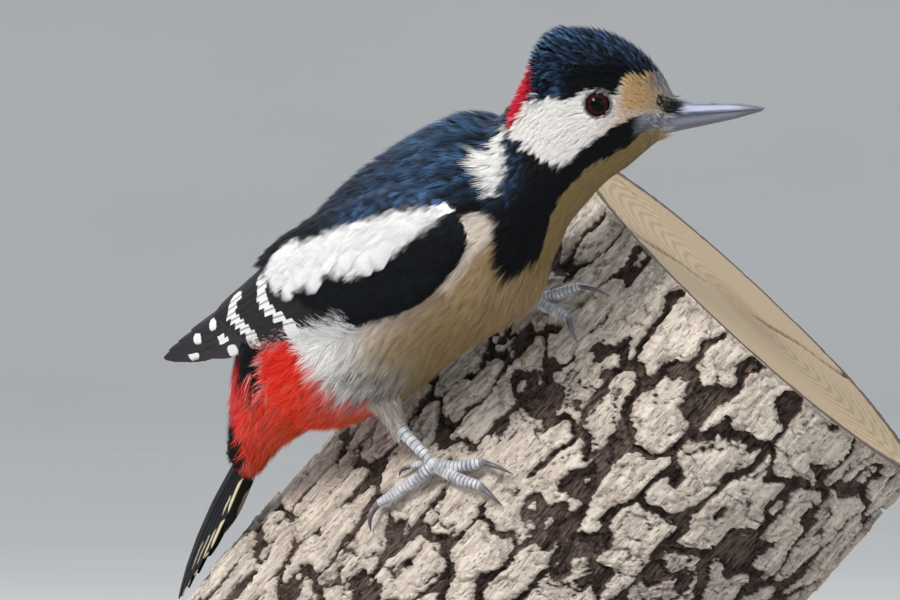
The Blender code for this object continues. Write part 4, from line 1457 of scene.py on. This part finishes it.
def barkRelief(bark, turn, height):
    # how far the bark sinks from the trunk's outline, and the tone of its plates and flakes
    x, y, z = np.moveaxis(bark, -1, 0)
    columns = int(2 * math.pi * 62 / log["plateWide"])
    warpX = 0.34 * drift(x / 19, y / 19, z / 19, 31) + 0.05 * drift(x / 4, y / 4, z / 4, 32)
    warpY = 0.34 * drift(x / 17, y / 17, z / 17, 33) + 0.045 * drift(x / 3, y / 3, z / 3, 34)

    def broken(across, along, seed):
        # plates, split so many times more across and along
        placeX = turn * columns * across + warpX * across
        placeY = height / log["plateLong"] * along + 20 + warpY * across
        return cells(placeX, placeY, columns * across, seed)

    edge, plate = broken(1, 1.0, 41)
    small, flake = broken(2, 2.6, 43)
    chip, chipTone = broken(5, 5.2, 45)
    top = ramp(edge, 0.16 + 0.09 * drift(x / 22, y / 22, z / 22, 35), 0.055)
    flake = np.clip(flake + 0.35 * (chipTone - 0.5), 0, 1)
    rough = 0.18 * drift(x / 2.2, y / 2.2, z / 2.2, 36) + 0.1 * drift(x / 0.9, y / 0.9, z / 0.9, 37)
    layers = 0.8 * (1 - ramp(small, 0.07, 0.06)) + 0.9 * plate + 1.0 * np.round(flake * 3.0) / 3.0
    layers = layers + 0.25 * (chip < 0.12) + 0.3
    furrow = log["furrowDeep"] - log["chipDeep"] * (chipTone > 0.6)
    sunk = np.minimum(rough - furrow * (1 - top) - layers * top, 0.0)
    # the bark stays up where the toes and claws hold it
    for leg in legs.values():
        for toe in leg["toes"].values():
            for toeX, toeZ in toe:
                away = np.linalg.norm(bark - onBark(toeX, toeZ, 0.0), axis=-1)
                sunk = sunk * (1 - 0.85 * np.exp(-((away / log["hold"]) ** 2)))
    return sunk, 0.5 * flake + 0.5 * plate


def endSplits(inset, angle):
    # 1 in the drying cracks of a sawn end
    split = 0.0
    for where, inner, wide in log["cracks"]:
        bent = where + 0.05 * np.sin(inset * 9 + where)
        off = np.abs((angle - bent + math.pi) % (2 * math.pi) - math.pi) * 60 * inset
        split = np.maximum(split, np.clip(1.4 - off / wide, 0, 1) * ((inner < inset) & (inset < 0.98)))
    return split


def makeLog():
    rows, around = log["rows"], log["around"]
    angle, share = turns(around)[None, :], np.linspace(0, 1, rows)[:, None]
    out = logFace * np.cos(angle)[..., None] + logAcross * np.sin(angle)[..., None]
    rim = logMiddle + logRadius(angle)[..., None] * out
    foot = (log["footLevel"] - rim[..., 2]) / logAxis[2]
    height = foot + (log["top"] - foot) * share
    bark = rim + logAxis * height[..., None]
    turn = np.broadcast_to(angle / (2 * math.pi), height.shape)
    sunk, flake = barkRelief(bark, turn, height)
    ends = np.minimum(1.0, np.minimum(share, 1 - share) * rows / 3.0)
    sunk = sunk * (0.3 + 0.7 * ends)
    bark = bark + out * sunk[..., None]
    inset = np.array(log["insets"])[:, None]
    split = endSplits(inset, angle)
    footEnd, topEnd = (end.mean(0) + (end - end.mean(0)) * inset[..., None] for end in (bark[0], bark[-1]))
    crack = logAxis * (split * log["crackDeep"])[..., None]
    points, quads, fans = closeRings(np.concatenate([(footEnd + crack)[::-1], bark, topEnd - crack]))

    def layer(trunk, end, middle):
        # a value a point: over the foot from its middle out, up the bark, and over the top
        end = np.broadcast_to(end, split.shape)
        return np.concatenate([end[::-1].ravel(), trunk.ravel(), end.ravel(), [middle, middle]])

    stored = {
        "height": layer(ramp(sunk, -2.2, 3.2), 0.5, 0.5),
        "flake": layer(flake, 0.5, 0.5),
        "ringWood": layer(np.full(sunk.shape, 60.0), inset * 52.0, 0.0),
        "check": layer(np.zeros(sunk.shape), split, 0.0),
    }
    ring = np.arange(len(quads)) // around
    sawn = np.concatenate([(ring < len(inset)) | (ring > len(inset) + rows - 2), np.ones(len(fans), bool)])
    faces = [quads, fans]
    if facingOut(points, quads) is not quads:
        faces = [kind[:, ::-1] for kind in faces]
    mesh = buildMesh("perchBark", points, faces, stored)
    # places on the trunk as round it, along it and out, in mm
    lie = np.stack([layer(values, 0.0, 0.0) for values in (turn * 390.0, height, sunk * 3)], -1)
    places = mesh.attributes.new("lie", "FLOAT_VECTOR", "POINT")
    places.data.foreach_set("vector", lie.astype(np.float32).ravel())
    mesh.materials.append(paints["bark"])
    mesh.materials.append(paints["sawn"])
    mesh.polygons.foreach_set("material_index", sawn.astype(np.int32))
    addPiece("perchBark", mesh, "bark", "bark", ("perch_trunk",))
    print(f"perchBark: {len(sawn)} faces")


makeLog()


def bend(start, middle, end, steps):
    t = np.linspace(0, 1, steps)[:, None]
    return (1 - t) ** 2 * start + 2 * t * (1 - t) * middle + t * t * end


def tubeRings(path, radii, around, up, squash=1.0):
    # rings of points along a path, whose first point lies towards up
    ahead = unit(np.gradient(path, axis=0))
    over = unit(up - ahead * (ahead * up).sum(-1, keepdims=True))
    beside = np.cross(ahead, over)
    turn = turns(around)[None, :, None]
    radii = radii[:, None, None] if radii.ndim == 1 else radii[..., None]
    out = over[:, None, :] * np.cos(turn) + beside[:, None, :] * np.sin(turn) * squash
    return path[:, None, :] + radii * out


foot = {
    "toeRoot": 1.6, "toeTip": 1.12, "hindToe": 0.75, "arch": 1.2, "shank": 1.45, "ball": 2.0,
    "pitch": 1.1, "plate": 0.3, "around": 20, "clawRoot": 1.0, "clawGap": 0.95, "clawWide": 0.72,
}


def scaledTube(path, radii, up, pitch, deep):
    # a tube with plates across its upper side, and how far each point is up a plate, 0 in the gaps
    around = foot["around"]
    plate = np.clip(np.sin(math.pi * ((pathLength(path) / pitch) % 1.0)) * 1.9, 0, 1)[:, None]
    upper = ramp(np.cos(turns(around)), 0.1, 0.8)[None, :]
    rings = tubeRings(path, radii[:, None] * (1 + deep * (plate - 0.5) * upper), around, up)
    plate = plate * upper + (1 - upper) * 0.62
    return (*lathe(rings), np.concatenate([plate.ravel(), [0.5, 0.5]]))


def makeClaw(which, toe, tip, ahead, end, up, small):
    root = tip + ahead * foot["clawGap"]
    crest = 0.5 * (root + end) + up * (1.4 + 0.3 * np.linalg.norm(end - root))
    share = np.linspace(0, 1, 40)
    radii = small * foot["clawRoot"] * (1 - share**1.5) ** 0.75 + 0.05
    rings = tubeRings(bend(tip - ahead * 0.3, crest, end, 40), radii, 16, up, foot["clawWide"])
    mesh = buildMesh("claw", *lathe(rings), {"share": endValues(share, 16)})
    name = f"claw{which.capitalize()}{toe.capitalize()}"
    addPiece(name, mesh, "claw", "claw_horn", (f"claw_{which}_{toe}",))


def makeLeg(which, leg):
    ankle, heel = np.array(leg["ankle"]), np.array(leg["foot"])
    down = unit(heel - ankle)
    away = unit(np.array([-0.4, -0.9, 0.2]))
    t = np.linspace(0, 1, 110)
    radii = foot["shank"] * np.interp(t, [0, 0.12, 0.3, 0.8, 1.0], [1.3, 1.25, 1.0, 0.98, 1.3])
    parts = [scaledTube(ankle + (heel - ankle) * t[:, None], radii, away, 1.7, 0.1)]
    path = heel + down * 0.2 + down * np.linspace(-2.0, 2.0, 24)[:, None]
    radii = foot["ball"] * np.sqrt(np.maximum(1 - np.linspace(-0.98, 0.98, 24) ** 2, 0.02))
    parts.append(scaledTube(path, radii, away, 1.4, 0.06))
    share = np.linspace(0, 1, 130)
    for toe, ((x1, z1), (x2, z2), (x3, z3)) in leg["toes"].items():
        small, arch = (foot["hindToe"], 0.0) if toe == "hind" else (1.0, foot["arch"])
        knuckle = onBark(x1, z1, foot["toeRoot"] * small + arch)
        tip = onBark(x2, z2, foot["toeTip"] * small + 0.4)
        path = bend(heel, knuckle, tip, len(share))
        up = unit(tip - logMiddle - logAxis * ((tip - logMiddle) @ logAxis))
        radii = small * (foot["toeRoot"] + (foot["toeTip"] - foot["toeRoot"]) * share)
        joints = 1 + 0.07 * np.cos(share * 4 * math.pi) ** 2
        radii = radii * joints * np.interp(share, [0.9, 1.0], [1.0, 0.72])
        parts.append(scaledTube(path, radii, up, foot["pitch"], foot["plate"]))
        makeClaw(which, toe, tip, unit(path[-1] - path[-2]), onBark(x3, z3, 0.35), up, small)
    points, faces, plates = zip(*parts)
    starts = np.cumsum([0, *map(len, points[:-1])])
    faces = np.concatenate([some + start for some, start in zip(faces, starts)])
    name = "leg" + which.capitalize()
    mesh = buildMesh(name, np.concatenate(points), faces, {"plate": np.concatenate(plates)})
    addPiece(name, mesh, "leg", "leg_scales", ("tarsus_" + which, "foot_" + which))


thighCoat = {
    "range": (0.15, 1.0), "spacing": 0.8, "slot": "plumage_body", "length": curve([0.1, 1.0], [6.5, 5.5]),
    "half": 0.5, "barbs": 5, "split": 0.12, "depth": 0.8, "stand": curve([0.1, 0.5, 1.0], [1.2, 0.9, 0.5]),
    "tips": plainTips("ash", 1.0), "messy": 0.2, "ragged": 0.2, "splay": 0.1, "uneven": 0.1, "mottle": 0.3,
}
for which, leg in legs.items():
    makeLeg(which, leg)
    growCoat("thigh" + which.capitalize(), thighSurface(which), thighCoat, plainMarks("cream"))
print("legs ready")

bill = {
    "tip": np.array([76.3, -31.5, 46.3]), "shares": (0.0, 0.2, 0.45, 0.7, 0.9, 1.0),
    "upper": (4.3, 3.6, 2.9, 2.1, 1.1, 0.45), "lower": (4.0, 3.3, 2.5, 1.7, 0.8, 0.35),
    "half": (4.4, 3.7, 3.0, 2.3, 1.5, 0.9), "lowerLength": 0.985,
}


def makeBill():
    row = smooth(bodyRows, 0.0)
    up, side = sectionAxes(row)
    root = row[:3] + unit(bill["tip"] - row[:3]) * 0.2
    share = np.linspace(-0.06, 1, 70)
    angle = np.linspace(0, math.pi, 41)[None, :]
    s, c = np.sin(angle), np.cos(angle)
    half = np.interp(share, bill["shares"], bill["half"])
    tilt = up * (1 - share)[:, None] + np.array([0, 0, 1.0]) * share[:, None]
    # a ridge along the top and a groove on each side of it
    ridge = 1 + 0.05 * np.exp(-((c / 0.2) ** 2)) - 0.05 * np.exp(-(((np.abs(c) - 0.72) / 0.12) ** 2))
    for name, sign, length in (("upper", 1.0, 1.0), ("lower", -1.0, bill["lowerLength"])):
        high = np.interp(share, bill["shares"], bill[name])[:, None]
        middle = root + (bill["tip"] - root) * (share * length)[:, None]
        rise = high * s**0.85 * ridge + 0.03
        rings = middle[:, None] + side * (half[:, None] * c)[..., None]
        rings = rings + tilt[:, None] * (sign * rise)[..., None]
        level = np.concatenate([(s * np.ones_like(high)).ravel(), [0.5, 0.5]])
        under = np.full(len(level), float(sign < 0))
        stored = {"share": endValues(share, angle.size), "level": level, "under": under}
        mesh = buildMesh("bill", *lathe(rings), stored)
        addPiece("bill" + name.capitalize(), mesh, "bill", "bill_horn", ("bill_" + name,))


def makeEyes():
    polar, turn = np.linspace(0.02, math.pi - 0.02, 48)[:, None], turns(64)[None, :]
    away = eyes["radius"] * np.sin(polar) * np.ones_like(turn)
    bulge = 0.22 * np.exp(-((polar / 0.42) ** 2))
    reach = (eyes["radius"] + bulge) * np.cos(polar) * np.ones_like(turn)
    ring = np.where(np.cos(polar) > 0, away, 9.0)
    stored = {"ring": np.concatenate([ring.ravel(), [0.0, 9.0]])}
    for which, sign in (("right", -1.0), ("left", 1.0)):
        centre = np.array([eyes["x"], eyes["midline"] + sign * eyes["out"], eyes["z"]])
        rings = centre + np.stack([away * np.cos(turn), sign * reach, away * np.sin(turn)], -1)
        mesh = buildMesh("eye", *lathe(rings), stored)
        addPiece("eye" + which.capitalize(), mesh, "eye", "eye", ("eye_" + which,))


makeBill()
makeEyes()


def turned(name, profile, paint, slot, node, around):
    # a turned piece in a node's box; its profile is a function of the box's half width, bottom and top
    low, high = (np.array(corner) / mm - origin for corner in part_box(node))
    centre, radius = 0.5 * (low + high), 0.5 * (high[0] - low[0])
    rows = np.array(profile(radius, low[2], high[2]))
    turn = turns(around)[None, :]
    x = centre[0] + rows[:, :1] * np.cos(turn)
    y = centre[1] + rows[:, :1] * np.sin(turn)
    rings = np.stack([x, y, rows[:, 1:2] * np.ones_like(turn)], -1)
    addPiece(name, buildMesh(name, *lathe(rings)), paint, slot, (node,))


# the base's outline as pairs of how far inside the rim, and how far over its underside or below its top
stand = {
    "foot": ((6.0, 0.0), (1.2, 0.0), (0.4, 0.5), (0.0, 1.4)),
    "bead": ((0.0, 6.6), (0.5, 6.2), (1.4, 5.6), (1.4, 5.0)),
    "groove": ((7.5, 0.35), (8.2, 0.8), (9.0, 0.2), (10.0, 0.0)),
    "shoulder": (3.4, 3.85), "collar": 7.0,
}


def baseProfile(radius, bottom, top):
    # radius and level of each ring of points, from below to above
    wide, tall = stand["shoulder"]
    over = list(stand["bead"])
    for step in np.linspace(0, math.pi / 2, 12):
        over.append((5.0 - wide * math.cos(step), 4.6 - tall * math.sin(step)))
    profile = [(radius - back, bottom + rise) for back, rise in stand["foot"]]
    profile += [(radius - back, top - drop) for back, drop in (*over, *stand["groove"])]
    return profile + [(radius * share, top) for share in (0.6, 0.3, 0.05)]


def rodProfile(radius, bottom, top):
    # a rod with a collar at the base and a smaller one under the trunk
    collar = stand["collar"]
    under = [(collar - 0.5, 0.0), (collar, 0.4), (collar, 2.0), (collar - 0.6, 2.6)]
    under += [(radius + 0.4, 2.9), (radius, 3.4)]
    over = [(radius, 2.6), (radius + 0.5, 2.2), (collar - 1.4, 1.8), (collar - 1.0, 1.4), (collar - 1.0, 0)]
    return [(r, bottom + rise) for r, rise in under] + [(r, top - drop) for r, drop in over]


turned("standBase", baseProfile, "base", "stand_wood", "stand_base", 192)
turned("standRodFore", rodProfile, "steel", "stand_steel", "stand_rod_fore", 64)
turned("standRodRear", rodProfile, "steel", "stand_steel", "stand_rod_rear", 64)
print("stand ready")


# view is the width that the camera sees at the bird, and a lamp has a place, a size, a power and a colour
studio = {
    "target": (0.0, -20.0, 0.0), "distance": 2.4, "sensor": 36.0, "view": 0.2195,
    "sky": (0.86, 0.90, 0.96, 1.0), "skyPower": 0.9,
    "floor": ((0.54, 0.535, 0.52), (0.59, 0.585, 0.57)), "flat": 8.0, "bend": 3.0, "around": 128,
    "lamps": {
        "key": ((-0.9, -1.1, 1.2), 0.5, 33.0, (1.0, 0.96, 0.9)),
        "fill": ((1.2, -1.3, 0.5), 1.2, 6.5, (0.85, 0.92, 1.0)),
        "rim": ((-0.3, 1.0, 1.3), 0.8, 9.0, (0.9, 0.95, 1.0)),
    },
}


def makeFloor():
    # a round bowl, flat under the model and rising far behind it on every side
    paint = Paint("floor", Roughness=0.85, Specular_IOR_Level=0.2)
    flat, around = studio["flat"], studio["around"]
    profile = [(flat * k, 0.0) for k in (0.02, 0.2, 0.4, 0.6, 0.8)]
    for t in np.linspace(0, math.pi / 2, 24):
        profile.append((flat + studio["bend"] * math.sin(t), studio["bend"] * (1 - math.cos(t))))
    points = [(r * math.cos(t), r * math.sin(t), z) for r, z in profile for t in turns(around)]
    floor = bpy.data.meshes.new("floor")
    faces = gridFaces(len(profile), around, wrap=True)[:, ::-1].tolist()
    floor.from_pydata(points, [], faces + [list(range(around))])
    floor.materials.append(paint.finish(paint.mix(paint.noise(3.0), *studio["floor"])))
    floor.shade_smooth()
    newObject("floor", floor)


def makeLight(target):
    for name, (place, size, power, colour) in studio["lamps"].items():
        lamp = bpy.data.lights.new(name, "AREA")
        lamp.size = size
        lamp.energy = power
        lamp.color = colour
        holder = newObject(name, lamp)
        holder.location = Vector(place) + target
        holder.rotation_euler = (target - holder.location).to_track_quat("-Z", "Y").to_euler()
    world = bpy.data.worlds.new("studio")
    world.use_nodes = True
    world.node_tree.nodes["Background"].inputs["Color"].default_value = studio["sky"]
    world.node_tree.nodes["Background"].inputs["Strength"].default_value = studio["skyPower"]
    bpy.context.scene.world = world
    bpy.context.scene.view_settings.view_transform = "Standard"


def makeCamera(target):
    view = bpy.data.cameras.new("camera")
    view.sensor_width = studio["sensor"]
    view.lens = studio["sensor"] * studio["distance"] / studio["view"]
    view.clip_start = 0.05
    view.clip_end = 20.0
    camera = newObject("camera", view)
    camera.location = target + Vector((0.0, -studio["distance"], 0.0))
    camera.rotation_euler = (math.pi / 2, 0.0, 0.0)
    bpy.context.scene.camera = camera


middle = Vector((np.array(studio["target"]) + origin) * mm)
makeFloor()
makeLight(middle)
makeCamera(middle)
